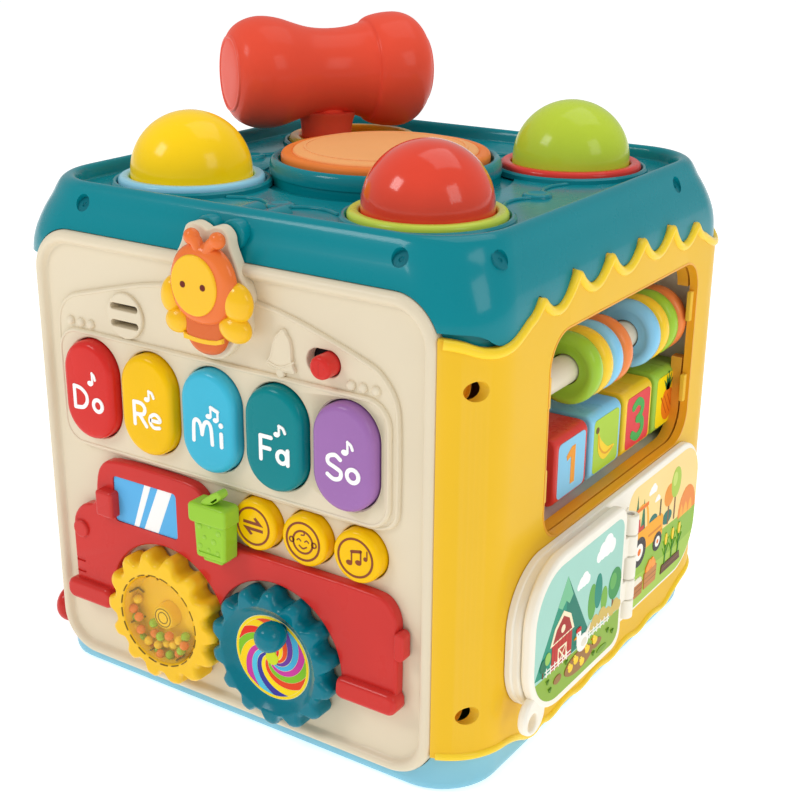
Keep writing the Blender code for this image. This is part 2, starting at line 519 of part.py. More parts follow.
# ---------------------------------------------------------------- top
def make_top():
    def ring(half, r, z):
        return (rounded(half, half, r, n=5), z)

    cap = publish("top_cap", pull([
        ring(84.0, 20, 181.4), ring(90.0, 22, 176.0), ring(93.2, 19, 168.0), ring(93.6, 17.6, 157.6),
        ring(99.4, 23.4, 157.6), ring(98.9, 23.6, 167.0), ring(97.0, 24.2, 175.0), ring(93.6, 24.6, 183.0), ring(90.4, 24.8, 188.2),
        ring(88.8, 24.4, 189.8), ring(87.4, 23.4, 189.6), ring(86.2, 22.4, TOP_FLOOR),
    ]), "teal")
    # room for the side walls, which lap over the edge of the cap
    for side, x0, x1 in (("right", 60, 130), ("left", -130, -60)):
        wall = wall_solid("cap_room_" + side, HALF - WALL - 0.4, 112.0, 150.0, 178.0, None, cutter=True, x0=80.0)
        if side == "left":
            bm = bmesh.new()
            bm.from_mesh(wall.data)
            bmesh.ops.transform(bm, matrix=Matrix.Scale(-1, 4, (1, 0, 0)), verts=bm.verts)
            bmesh.ops.reverse_faces(bm, faces=bm.faces)
            bm.to_mesh(wall.data)
            bm.free()
        boolean(wall, edge_cutter("cap_room_line_" + side, TOP_KNOTS, 200, GAP, x0 - 10, x1 + 10))
        boolean(cap, wall)
    mid, half_h = (PANEL_Z0 + PANEL_Z1) / 2, (PANEL_Z1 - PANEL_Z0) / 2
    for side, y0, y1 in (("front", -88.6, -120), ("back", 88.6, 120)):
        boolean(cap, publish("cap_room_" + side, slab(rounded(PANEL_HALF + GAP, half_h + GAP, PANEL_R + GAP, 0, mid, 4), y0, y1, "y"), None, cutter=True))
    boolean(cap, publish("pad_collar", turned([(COLLAR_R - 2.2, 183), (COLLAR_R + 1.6, 183), (COLLAR_R + 0.6, 192.0), (COLLAR_R - 0.6, 193.0), (COLLAR_R - 2.2, 192.6)], steps=24), None, cutter=True), "UNION")
    a = DOME_POS
    for k, (x, y, r) in enumerate(((-a, -a, DOME_R + 0.5), (a, -a, DOME_R + 0.5), (a, a, DOME_R + 0.5), (-a, a, 24.7), (0, 0, 8.3))):
        boolean(cap, publish("cap_hole_%d" % k, cylinder(r, 170, 187, "z", x, y, 20), None, cutter=True))
    # two lobes that carry the backing of the figure, and the screw wells
    for k, x in enumerate((-5.2, 5.8)):
        lobe = turned([(0, 70.0), (5.0, 70.0), (5.0, 97.0), (0, 97.0)], "y", (x, 0, 182.4), 16)
        boolean(cap, publish("cap_lobe_%d" % k, lobe, None, cutter=True), "UNION")
    for k, (x, y) in enumerate(((-64, -90), (68, -90), (90, -76), (90, 54), (64, 90), (-64, 90), (-90, -64), (-90, 64))):
        outward = Vector((x if abs(x) > 80 else 0, y if abs(y) > 80 else 0, 0)).normalized()
        tool = bmesh.new()
        bmesh.ops.create_cone(tool, cap_ends=True, segments=8, radius1=3.0 * MM, radius2=3.0 * MM, depth=8 * MM)
        spot = Vector((x, y, 185.0)) + outward * 5.2
        bmesh.ops.transform(tool, matrix=Matrix.Translation(spot * MM) @ (outward + Vector((0, 0, 0.8))).to_track_quat("Z", "Y").to_matrix().to_4x4(), verts=tool.verts)
        boolean(cap, publish("cap_screw_well_%d" % k, tool, None, cutter=True))

    for name, x, y, colour in (("ring_blue", -a, -a, "light_blue"), ("ring_lime", a, -a, "lime"), ("ring_red", a, a, "red")):
        publish(name, turned([(DOME_R + 0.4, 185.3), (RING_OUT, 185.3), (RING_OUT, 187.0), (RING_OUT - 1.2, 188.5), (DOME_R + 0.4, 188.7)], centre=(x, y, 0), steps=20), colour)
    for name, x, y, colour in (("dome_yellow", -a, -a, "bright_yellow"), ("dome_red", a, -a, "scarlet"), ("dome_green", a, a, "lime")):
        inner, outer = [], []
        for k in range(0, 5):
            t = math.radians(90 * k / 4)
            outer.append((DOME_R * math.cos(t), 189.5 + 21.8 * math.sin(t)))
            inner.append(((DOME_R - 2) * math.cos(t), 189.5 + 19.6 * math.sin(t)))
        outer[-1], inner[-1] = (0, outer[-1][1]), (0, inner[-1][1])
        profile = inner[::-1] + [(DOME_R - 2, 175.4), (DOME_R + 2.2, 175.4), (DOME_R + 2.2, 177.0), (DOME_R, 177.0)] + outer
        publish(name, turned(profile, centre=(x, y, 0), steps=18), colour, (x, y, 185))
    publish("drum_pad", turned([(0, 170.0), (7.8, 170.0), (7.8, 188.0), (PAD_R, 188.0), (PAD_R, 193.6), (PAD_R - 1.6, 195.2), (26.0, 196.6), (0, 197.2)], steps=24), "peach", (0, 0, 188))
    publish("hammer_socket", turned([(0, 141.0), (24.4, 141.0), (24.4, 185.3), (RING_OUT, 185.3), (RING_OUT, 187.0), (RING_OUT - 1.2, 188.5), (SOCKET_BORE + 1.0, 188.9), (SOCKET_BORE, 188.0), (SOCKET_BORE, 143.6), (0, 143.6)], centre=(-a, a, 0), steps=24), "bright_yellow")


# ---------------------------------------------------------------- hammer
def make_hammer():
    az, lean = math.radians(HAMMER_AZIMUTH), math.radians(HAMMER_LEAN)
    along = Vector((math.cos(az) * math.cos(lean), math.sin(az) * math.cos(lean), -math.sin(lean)))
    up = Vector((math.cos(az) * math.sin(lean), math.sin(az) * math.sin(lean), math.cos(lean)))
    side = up.cross(along)
    foot = Vector(HAMMER_FOOT)

    def place(bm, offset):
        matrix = Matrix((along, side, up)).transposed().to_4x4()
        matrix.translation = (foot + up * offset) * MM
        bmesh.ops.transform(bm, matrix=matrix, verts=bm.verts)
        return bm

    head = publish("hammer_head", place(turned(
        [(0, -42.0), (14.5, -42.0), (20.4, -38.2), (23.4, -29.5), (23.0, -20.5), (20.4, -16.2), (18.0, -4.0),
         (18.0, 4.0), (20.4, 16.2), (23.0, 20.5), (23.4, 29.5), (20.4, 38.2), (14.5, 42.0), (0, 42.0)], "x", steps=16), HAMMER_HEAD_UP), "scarlet", tuple(foot))
    boolean(head, publish("head_bore", place(turned([(0, 30), (8.9, 30), (8.9, HAMMER_HEAD_UP + 6), (0, HAMMER_HEAD_UP + 6)], steps=20), 0), None, cutter=True))
    publish("hammer_handle", place(turned([(0, 0), (6.6, 0), (8.0, 1.6), (8.6, 20), (10.3, 40.0), (10.3, HAMMER_HEAD_UP - 19.4), (8.6, HAMMER_HEAD_UP - 19.4), (8.6, HAMMER_HEAD_UP + 5), (0, HAMMER_HEAD_UP + 5)], steps=20), 0), "scarlet", tuple(foot))


# ---------------------------------------------------------------- window set
def make_window():
    tray = publish("abacus_tray", box(54.0, 96.5, -61.0, 77.0, 78.0, 157.0), "cream_light")
    boolean(tray, publish("tray_room", box(56.4, 110, -58.6, 75.4, 80.4, 154.6), None, cutter=True))
    publish("abacus_rod", cylinder(ROD_R, -58.3, 74.3, "y", ROD_X, ROD_Z, 14), "cream_light")
    colours = ("green", "bright_yellow", "sky", "orange", "sky", "bright_yellow", "green", "orange")
    for k, (y, colour) in enumerate(zip(BEAD_Y, colours)):
        t = BEAD_T / 2
        publish("abacus_bead_%d" % (k + 1), turned([
            (ROD_R + 0.5, -y - t + 1.4), (8.4, -y - t + 1.4), (10.4, -y - t), (BEAD_R, -y - t + 2.2), (BEAD_R, -y + t - 2.2),
            (10.4, -y + t), (8.4, -y + t - 1.4), (ROD_R + 0.5, -y + t - 1.4)], "y", (ROD_X, 0, ROD_Z), 14), colour, (ROD_X, y, ROD_Z))
    publish("block_axle", cylinder(AXLE_R, -58.3, 75.1, "y", AXLE_X, AXLE_Z, 12), "cream_light")
    for k, (y, colour) in enumerate(zip(BLOCK_Y, ("scarlet", "sky", "bright_yellow", "green"))):
        face = rounded(BLOCK_HALF, BLOCK_HALF, BLOCK_CORNER, AXLE_X, AXLE_Z, 3)
        t = BLOCK_T / 2
        block = publish("picture_block_%d" % (k + 1), slab(face, y - t, y + t, "y", 1.2, 1, both=True), colour, (AXLE_X, y, AXLE_Z))
        boolean(block, publish("block_bore_%d" % (k + 1), cylinder(AXLE_R + 0.4, y - 20, y + 20, "y", AXLE_X, AXLE_Z, 16), None, cutter=True))


# ---------------------------------------------------------------- book
def leaf_outline(y0, y1, z0, z1, r_far, r_near, n=4):
    """A leaf whose far corners (at y0) are rounder than the ones by the spine."""
    points = []
    for cy, cz, r, start in ((y1 - r_near, z1 - r_near, r_near, 0), (y0 + r_far, z1 - r_far, r_far, 90), (y0 + r_far, z0 + r_far, r_far, 180), (y1 - r_near, z0 + r_near, r_near, 270)):
        for k in range(n + 1):
            a = math.radians(start + 90.0 * k / n)
            points.append((cy + r * math.cos(a), cz + r * math.sin(a)))
    return points


def make_book():
    plate = publish("book_plate", slab(leaf_outline(-77.6, 77.0, 23.6, 80.2, 22, 18, 4), HALF + GAP, 102.8, "x"), "cream_light")
    thick = leaf_outline(-77.0, -6.0, 24.2, 79.8, 21.4, 6, 4)
    boolean(plate, publish("book_plate_left", slab(thick, 101.5, 105.5, "x", 0.8, 1), None, cutter=True), "UNION")
    page = publish("book_page", slab(leaf_outline(-77.6, -7.6, 25.0, 82.2, 22, 7, 4), 105.9, 110.3, "x", 1.2, 1, both=True), "cream_light", (HINGE_X, HINGE_Y, 52))
    loop = slab(rounded(7.2, 7.2, 7.1, -72.0, 27.6, 4), 106.4, 109.8, "x")
    boolean(page, publish("page_loop", loop, None, cutter=True), "UNION")
    boolean(page, publish("page_loop_hole", slab(rounded(3.2, 3.2, 3.1, -73.6, 25.8, 3), 100, 120, "x"), None, cutter=True))
    for k, (z0, z1) in enumerate(((39.5, 47.5), (57.5, 65.5))):
        arm = box(106.0, 108.4, -10.0, HINGE_Y, z0, z1)
        boolean(page, publish("page_arm_%d" % k, arm, None, cutter=True), "UNION")
        boolean(page, publish("page_knuckle_%d" % k, cylinder(3.1, z0, z1, "z", HINGE_X, HINGE_Y, 16), None, cutter=True), "UNION")
    for k, (z0, z1) in enumerate(((31.5, 39.1), (47.9, 57.1), (65.9, 73.5))):
        boolean(plate, publish("plate_knuckle_%d" % k, cylinder(3.1, z0, z1, "z", HINGE_X, HINGE_Y, 16), None, cutter=True), "UNION")
        boolean(plate, publish("plate_stand_%d" % k, box(101.5, HINGE_X, HINGE_Y - 1.6, HINGE_Y + 1.6, z0, z1), None, cutter=True), "UNION")
    boolean(plate, publish("plate_pin_hole", cylinder(1.45, 30, 75, "z", HINGE_X, HINGE_Y, 12), None, cutter=True))
    boolean(page, publish("page_pin_hole", cylinder(1.45, 30, 75, "z", HINGE_X, HINGE_Y, 12), None, cutter=True))
    boolean(plate, publish("plate_swing_room", cylinder(3.6, 39.2, 47.8, "z", HINGE_X, HINGE_Y, 16), None, cutter=True))
    boolean(plate, publish("plate_swing_room_2", cylinder(3.6, 57.2, 65.8, "z", HINGE_X, HINGE_Y, 16), None, cutter=True))
    publish("book_hinge_pin", cylinder(1.1, 31.7, 73.3, "z", HINGE_X, HINGE_Y, 12), "steel")


# ---------------------------------------------------------------- inside
def make_inside():
    board = publish("main_board", box(-66, 66, -80.6, -79.0, 62, 134), "board")
    speaker = publish("speaker", turned([(0, 82.0), (8, 82.0), (8, 87.0), (12.8, 91.0), (14.0, 91.0), (14.0, 92.6), (0, 92.6)], "y", (-41.3, 0, 152.6), 20), "dark")
    return board, speaker


start_scene()
make_base()
make_walls()
make_front()
make_wheels()
make_top()
make_hammer()
make_window()
make_book()
make_inside()
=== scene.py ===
"""Baby activity cube: the finished look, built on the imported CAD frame.

All sizes below are in millimetres in the row frame (X right along the front, Y to the
back, Z up) and are scaled to metres when a mesh is made.
"""
import math
import random

import bmesh
import bpy
from mathutils import Matrix, Vector


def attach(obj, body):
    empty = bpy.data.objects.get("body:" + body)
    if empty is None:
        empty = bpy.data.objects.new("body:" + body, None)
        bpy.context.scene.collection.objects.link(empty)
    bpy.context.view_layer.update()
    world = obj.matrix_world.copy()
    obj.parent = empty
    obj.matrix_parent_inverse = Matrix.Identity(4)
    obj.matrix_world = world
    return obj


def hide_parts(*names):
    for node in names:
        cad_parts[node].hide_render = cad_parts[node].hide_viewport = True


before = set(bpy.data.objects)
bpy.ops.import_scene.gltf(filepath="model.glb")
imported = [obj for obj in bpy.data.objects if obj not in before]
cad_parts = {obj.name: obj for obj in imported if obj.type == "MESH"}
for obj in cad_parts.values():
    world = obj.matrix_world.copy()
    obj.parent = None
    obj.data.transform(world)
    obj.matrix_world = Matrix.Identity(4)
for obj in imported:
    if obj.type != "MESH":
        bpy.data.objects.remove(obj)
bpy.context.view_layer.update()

MM = 0.001
scene = bpy.context.scene


# ------------------------------------------------------------------ camera, light, floor
def make_stage():
    cam = bpy.data.cameras.new("camera")
    cam.sensor_width = 36.0
    cam.lens = 64.1855
    cam.shift_x = 0.026328
    cam.shift_y = 0.027801
    cam.clip_start = 0.01
    obj = bpy.data.objects.new("camera", cam)
    obj.matrix_world = Matrix((
        (0.826513, -0.204574, 0.524429, 0.295201),
        (0.562912, 0.296393, -0.771545, -0.439321),
        (0.002401, 0.932899, 0.360130, 0.291048),
        (0, 0, 0, 1),
    ))
    scene.collection.objects.link(obj)
    scene.camera = obj

    world = bpy.data.worlds.new("studio")
    world.use_nodes = True
    back = world.node_tree.nodes["Background"]
    back.inputs["Color"].default_value = (1.0, 1.0, 1.0, 1)
    back.inputs["Strength"].default_value = 0.52
    scene.world = world

    def area(name, spot, aim, size, power, colour=(1, 1, 1)):
        light = bpy.data.lights.new(name, "AREA")
        light.shape = "RECTANGLE"
        light.size, light.size_y = size
        light.energy = power
        light.color = colour
        lamp = bpy.data.objects.new(name, light)
        lamp.location = spot
        lamp.rotation_euler = (Vector(aim) - Vector(spot)).to_track_quat("-Z", "Y").to_euler()
        scene.collection.objects.link(lamp)

    area("key", (-0.75, -1.05, 1.15), (0, 0, 0.12), (0.5, 0.5), 6.4)
    area("side", (1.5, -0.25, 0.95), (0.0, 0.0, 0.10), (0.6, 0.8), 4.6, (1.0, 0.99, 0.97))
    area("top", (0.15, 0.45, 1.5), (0, 0, 0.15), (1.0, 1.0), 4.2)

    mesh = bpy.data.meshes.new("floor")
    mesh.from_pydata([(-20, -20, 0), (20, -20, 0), (20, 20, 0), (-20, 20, 0)], [], [(0, 1, 2, 3)])
    floor = bpy.data.objects.new("floor", mesh)
    floor.location.z = -0.0002
    scene.collection.objects.link(floor)
    mat = bpy.data.materials.new("floor_paper")
    mat.use_nodes = True
    nodes, links = mat.node_tree.nodes, mat.node_tree.links
    shader = nodes["Principled BSDF"]
    shader.inputs["Roughness"].default_value = 0.9
    shader.inputs["Specular IOR Level"].default_value = 0.1
    grain = nodes.new("ShaderNodeTexNoise")
    grain.inputs["Scale"].default_value = 3.0
    ramp = nodes.new("ShaderNodeValToRGB")
    ramp.color_ramp.elements[0].color = (0.93, 0.93, 0.93, 1)
    ramp.color_ramp.elements[1].color = (0.96, 0.96, 0.96, 1)
    links.new(grain.outputs["Fac"], ramp.inputs["Fac"])
    links.new(ramp.outputs["Color"], shader.inputs["Base Color"])
    shader.inputs["Emission Color"].default_value = (1, 1, 1, 1)
    shader.inputs["Emission Strength"].default_value = 0.52
    mesh.materials.append(mat)
    scene.view_settings.view_transform = "Standard"


# ------------------------------------------------------------------ materials
def linear(rgb):
    out = []
    for c in rgb:
        c = c / 255.0
        out.append(c / 12.92 if c <= 0.04045 else ((c + 0.055) / 1.055) ** 2.4)
    return out


MATS = {}


def plastic(name, rgb, rough=0.30, coat=0.25, vary=0.05, bump=0.05, grain=1400.0, edge=0.10, translucent=0.0):
    """A moulded plastic: cloudy colour, worn edges, uneven gloss and a fine moulded grain."""
    if name in MATS:
        return MATS[name]
    mat = bpy.data.materials.new(name)
    mat.use_nodes = True
    nodes, links = mat.node_tree.nodes, mat.node_tree.links
    shader = nodes["Principled BSDF"]
    base = linear(rgb)
    coords = nodes.new("ShaderNodeTexCoord")

    cloud = nodes.new("ShaderNodeTexNoise")
    cloud.inputs["Scale"].default_value = 22.0
    cloud.inputs["Detail"].default_value = 4.0
    links.new(coords.outputs["Object"], cloud.inputs["Vector"])
    tint = nodes.new("ShaderNodeValToRGB")
    tint.color_ramp.elements[0].position = 0.3
    tint.color_ramp.elements[1].position = 0.7
    tint.color_ramp.elements[0].color = (*[c * (1 - vary) for c in base], 1)
    tint.color_ramp.elements[1].color = (*[min(1.0, c * (1 + vary)) for c in base], 1)
    links.new(cloud.outputs["Fac"], tint.inputs["Fac"])
    last = tint.outputs["Color"]
    if edge:
        geometry = nodes.new("ShaderNodeNewGeometry")
        worn = nodes.new("ShaderNodeValToRGB")
        worn.color_ramp.elements[0].position = 0.52
        worn.color_ramp.elements[1].position = 0.62
        links.new(geometry.outputs["Pointiness"], worn.inputs["Fac"])
        mix = nodes.new("ShaderNodeMix")
        mix.data_type = "RGBA"
        scale = nodes.new("ShaderNodeMath")
        scale.operation = "MULTIPLY"
        scale.inputs[1].default_value = edge
        links.new(worn.outputs["Color"], scale.inputs[0])
        links.new(scale.outputs["Value"], mix.inputs["Factor"])
        links.new(last, mix.inputs["A"])
        mix.inputs["B"].default_value = (*[min(1.0, c * 0.6 + 0.4) for c in base], 1)
        last = mix.outputs["Result"]
    links.new(last, shader.inputs["Base Color"])

    smear = nodes.new("ShaderNodeTexNoise")
    smear.inputs["Scale"].default_value = 70.0
    smear.inputs["Detail"].default_value = 5.0
    links.new(coords.outputs["Object"], smear.inputs["Vector"])
    gloss = nodes.new("ShaderNodeMapRange")
    gloss.inputs["From Min"].default_value = 0.3
    gloss.inputs["From Max"].default_value = 0.7
    gloss.inputs["To Min"].default_value = max(0.02, rough - 0.05)
    gloss.inputs["To Max"].default_value = min(1.0, rough + 0.07)
    links.new(smear.outputs["Fac"], gloss.inputs["Value"])
    links.new(gloss.outputs["Result"], shader.inputs["Roughness"])

    if bump:
        fine = nodes.new("ShaderNodeTexNoise")
        fine.inputs["Scale"].default_value = grain
        fine.inputs["Detail"].default_value = 2.0
        links.new(coords.outputs["Object"], fine.inputs["Vector"])
        relief = nodes.new("ShaderNodeBump")
        relief.inputs["Strength"].default_value = bump
        relief.inputs["Distance"].default_value = 0.0002
        links.new(fine.outputs["Fac"], relief.inputs["Height"])
        links.new(relief.outputs["Normal"], shader.inputs["Normal"])
    shader.inputs["Coat Weight"].default_value = coat * 1.3
    shader.inputs["Coat Roughness"].default_value = 0.13
    shader.inputs["Coat IOR"].default_value = 1.45
    shader.inputs["IOR"].default_value = 1.45
    shader.inputs["Specular IOR Level"].default_value = 0.06
    if translucent:
        shader.inputs["Transmission Weight"].default_value = translucent
    MATS[name] = mat
    return mat


def ink(name, rgb):
    """Printed colour: nearly flat, with a faint screen grain and a satin surface."""
    return plastic("print_" + name, rgb, rough=0.38, coat=0.15, vary=0.03, bump=0.03, grain=2600.0, edge=0.0)


TEAL = plastic("teal_plastic", (0, 134, 146), 0.28, 0.34, vary=0.02, edge=0.02)
# a darker copy of the teal for the well floors: painted shade
TEAL_WELL_SHADE = plastic("teal_well_shade_plastic", (0, 112, 124), 0.34, 0.1, edge=0.02)
CREAM = plastic("cream_plastic", (228, 215, 188), 0.40, 0.2, vary=0.02)
IVORY = plastic("ivory_plastic", (248, 243, 229), 0.36, 0.2, vary=0.02)
YELLOW = plastic("wall_yellow_plastic", (238, 190, 40), 0.38, 0.15, vary=0.02)
TRIM = plastic("trim_yellow_plastic", (250, 212, 42), 0.30, 0.3, vary=0.03)
# orange of the window sill; also used on the wall wells' floors as painted shade
SILL_AND_WELL_SHADE = plastic("sill_orange_plastic", (238, 168, 32), 0.34, 0.25)
BLUE = plastic("base_blue_plastic", (132, 196, 218), 0.34, 0.25, vary=0.02)
TRUCK = plastic("truck_red_plastic", (206, 48, 42), 0.30, 0.3)
RED = plastic("signal_red_plastic", (214, 46, 40), 0.26, 0.24)
HAMMER = plastic("hammer_red_plastic", (240, 84, 60), 0.40, 0.16, vary=0.03)
KEYYEL = plastic("key_yellow_plastic", (246, 194, 0), 0.26, 0.2, edge=0.02)
KEYBLU = plastic("key_blue_plastic", (64, 184, 214), 0.26, 0.22)
KEYTEA = plastic("key_teal_plastic", (0, 130, 136), 0.26, 0.2, edge=0.02)
KEYPUR = plastic("key_purple_plastic", (158, 110, 174), 0.26, 0.22)
BEEOR = plastic("figure_orange_plastic", (234, 118, 52), 0.30, 0.4, edge=0.04)
BEEYE = plastic("figure_yellow_plastic", (246, 192, 30), 0.28, 0.45, edge=0.04)
BIN = plastic("bin_green_plastic", (152, 203, 52), 0.30, 0.3)
GEARY = plastic("gear_yellow_plastic", (248, 198, 34), 0.30, 0.3)
GEARF = plastic("gear_floor_plastic", (255, 208, 40), 0.28, 0.2, edge=0.0)
GEART = plastic("gear_teal_plastic", (0, 118, 136), 0.26, 0.3, edge=0.02)
PADTOP = plastic("pad_peach_rubber", (248, 176, 112), 0.50, 0.0, vary=0.03, bump=0.1, grain=900)
PADEDGE = plastic("pad_orange_rubber", (242, 134, 62), 0.45, 0.05)
def painted_glow(mat, rgb, strength):
    """Painted glow: a faint emission that makes a dome look lit from within, though no lamp is in it."""
    shader = mat.node_tree.nodes["Principled BSDF"]
    shader.inputs["Emission Color"].default_value = (*linear(rgb), 1)
    shader.inputs["Emission Strength"].default_value = strength
    return mat


DOMEY = painted_glow(plastic("dome_yellow_plastic", (252, 208, 20), 0.24, 0.35), (252, 204, 0), 0.16)
DOMEG = painted_glow(plastic("dome_green_plastic", (186, 208, 60), 0.24, 0.35), (186, 208, 50), 0.10)
RINGB = plastic("ring_blue_plastic", (156, 218, 242), 0.28, 0.3)
RINGL = plastic("ring_lime_plastic", (206, 224, 82), 0.28, 0.3)
RINGR = plastic("ring_red_plastic", (230, 62, 54), 0.28, 0.3)
CUP = plastic("cup_yellow_plastic", (252, 208, 50), 0.28, 0.3)
BGREEN = plastic("bead_green_plastic", (160, 205, 56), 0.24, 0.35)
BYELL = plastic("bead_yellow_plastic", (255, 210, 48), 0.24, 0.35)
BBLUE = plastic("bead_blue_plastic", (138, 208, 244), 0.24, 0.35)
BORAN = plastic("bead_orange_plastic", (242, 138, 70), 0.24, 0.35)
ROD = plastic("rod_ivory_plastic", (232, 222, 198), 0.36, 0.15, vary=0.03)
TRAYIN = plastic("tray_grey_plastic", (236, 230, 214), 0.42, 0.1, vary=0.02)
BLKR = plastic("block_red_plastic", (222, 60, 52), 0.28, 0.3)
BLKB = plastic("block_blue_plastic", (134, 206, 240), 0.28, 0.3)
BLKY = plastic("block_yellow_plastic", (246, 205, 40), 0.28, 0.3)
BLKG = plastic("block_green_plastic", (158, 204, 72), 0.28, 0.3)
DARK = plastic("dark_plastic", (34, 32, 34), 0.5, 0.0, edge=0)
SHADE = plastic("shaded_cream_plastic", (150, 138, 118), 0.5, 0.0, edge=0)
WHITE = ink("white", (252, 252, 250))
BROWN = ink("brown", (138, 72, 44))


def clear_plastic():
    """A clear cover: almost wholly see-through, with a faint warm sheen and glossy glints."""
    mat = plastic("clear_plastic", (255, 236, 160), 0.08, 0.0, vary=0.01, bump=0.0, edge=0.0)
    nodes, links = mat.node_tree.nodes, mat.node_tree.links
    shader = nodes["Principled BSDF"]
    glass = nodes.new("ShaderNodeBsdfTransparent")
    glass.inputs["Color"].default_value = (1.0, 0.985, 0.92, 1)
    mix = nodes.new("ShaderNodeMixShader")
    mix.inputs["Fac"].default_value = 0.07
    links.new(glass.outputs["BSDF"], mix.inputs[1])
    links.new(shader.outputs["BSDF"], mix.inputs[2])
    links.new(mix.outputs["Shader"], nodes["Material Output"].inputs["Surface"])
    return mat


def red_dome_painted_glow():
    mat = plastic("dome_red_plastic", (224, 66, 44), 0.10, 0.6, vary=0.10, bump=0.0, edge=0.0)
    shader = mat.node_tree.nodes["Principled BSDF"]
    # painted glow: a faint red emission makes the dome look lit from within
    shader.inputs["Emission Color"].default_value = (0.80, 0.08, 0.03, 1)
    shader.inputs["Emission Strength"].default_value = 0.10
    return mat


CLEAR = clear_plastic()
DOMER = red_dome_painted_glow()


# ------------------------------------------------------------------ outlines
def rounded(hx, hy, r, cx=0.0, cy=0.0, n=12):
    r = min(r, hx, hy)
    points = []
    for sx, sy, start in ((1, 1, 0), (-1, 1, 90), (-1, -1, 180), (1, -1, 270)):
        for k in range(n + 1):
            a = math.radians(start + 90.0 * k / n)
            points.append((cx + sx * (hx - r) + r * math.cos(a), cy + sy * (hy - r) + r * math.sin(a)))
    return [p for k, p in enumerate(points) if math.dist(p, points[k - 1]) > 1e-5]


def circle(r, n=72, cx=0.0, cy=0.0, turn=0.0, ry=None):
    ry = r if ry is None else ry
    return [(cx + r * math.cos(2 * math.pi * k / n + turn), cy + ry * math.sin(2 * math.pi * k / n + turn)) for k in range(n)]


def dense(points, step):
    out = []
    for k, a in enumerate(points):
        b = points[(k + 1) % len(points)]
        parts = max(1, int(math.dist(a, b) / step))
        out += [(a[0] + (b[0] - a[0]) * i / parts, a[1] + (b[1] - a[1]) * i / parts) for i in range(parts)]
    return out


def chaikin(points, times=2, closed=True):
    for _ in range(times):
        out = [] if closed else [points[0]]
        for k in range(len(points) if closed else len(points) - 1):
            (ax, ay), (bx, by) = points[k], points[(k + 1) % len(points)]
            out += [(0.75 * ax + 0.25 * bx, 0.75 * ay + 0.25 * by), (0.25 * ax + 0.75 * bx, 0.25 * ay + 0.75 * by)]
        points = out if closed else out + [points[-1]]
    return points


def ccw(points):
    area = sum(a[0] * b[1] - b[0] * a[1] for a, b in zip(points, points[1:] + points[:1]))
    return points if area > 0 else points[::-1]


def grow(points, by):
    out = []
    for k in range(len(points)):
        a, b, c = points[k - 1], points[k], points[(k + 1) % len(points)]
        e1 = Vector((b[0] - a[0], b[1] - a[1])).normalized()
        e2 = Vector((c[0] - b[0], c[1] - b[1])).normalized()
        n1 = Vector((e1.y, -e1.x))
        m = (n1 + Vector((e2.y, -e2.x))).normalized()
        d = max(0.5, m.dot(n1))
        out.append((b[0] + m.x * by / d, b[1] + m.y * by / d))
    return out


def curve(points, per=8):
    """A Catmull-Rom line through open points."""
    pts = [points[0]] + list(points) + [points[-1]]
    out = []
    for i in range(1, len(pts) - 2):
        p0, p1, p2, p3 = (Vector(p) for p in pts[i - 1:i + 3])
        for k in range(per):
            t = k / per
            out.append(0.5 * ((2 * p1) + (p2 - p0) * t + (2 * p0 - 5 * p1 + 4 * p2 - p3) * t * t + (3 * p1 - p0 - 3 * p2 + p3) * t ** 3))
    out.append(Vector(points[-1]))
    return out


# ------------------------------------------------------------------ solids
AXES = {"z": lambda a, b, c: (a, b, c), "y": lambda a, b, c: (a, c, b), "x": lambda a, b, c: (c, a, b)}


def pull(levels, along="z", caps=True):
    place = AXES[along]
    bm = bmesh.new()
    rings = [[bm.verts.new(Vector(place(a, b, h)) * MM) for a, b in outline] for outline, h in levels]
    count = len(rings[0])
    for r0, r1 in zip(rings, rings[1:]):
        for k in range(count):
            bm.faces.new((r0[k], r0[(k + 1) % count], r1[(k + 1) % count], r1[k]))
    if caps:
        bm.faces.new(rings[0][::-1])
        bm.faces.new(rings[-1])
    bmesh.ops.recalc_face_normals(bm, faces=bm.faces)
    return bm


def quarter(edge, steps):
    """(inset, depth below the face) along a rounded edge, from the side to the face."""
    return [(edge * (1 - math.cos(math.pi / 2 * k / steps)), edge * (1 - math.sin(math.pi / 2 * k / steps))) for k in range(steps + 1)]


def slab(outline, c0, c1, along="z", edge=0.0, steps=4, both=False):
    sign = 1.0 if c1 > c0 else -1.0
    levels = []
    if edge:
        if both:
            levels += [(grow(outline, -i), c0 + sign * d) for i, d in reversed(quarter(edge, steps))]
        else:
            levels.append((outline, c0))
        levels += [(grow(outline, -i), c1 - sign * d) for i, d in quarter(edge, steps)]
    else:
        levels = [(outline, c0), (outline, c1)]
    return pull(levels, along)


def mouth(outline, surface, depth, along="y", r=0.5, out=6.0, steps=4):
    """A cutter for a hole with a rounded mouth in a face at `surface`, which faces away from `depth`."""
    sign = 1.0 if surface > depth else -1.0
    levels = [(outline, depth)]
    levels += [(grow(outline, i), surface - sign * d) for i, d in quarter(r, steps)]
    levels.append((grow(outline, r), surface + sign * out))
    return pull(levels, along)


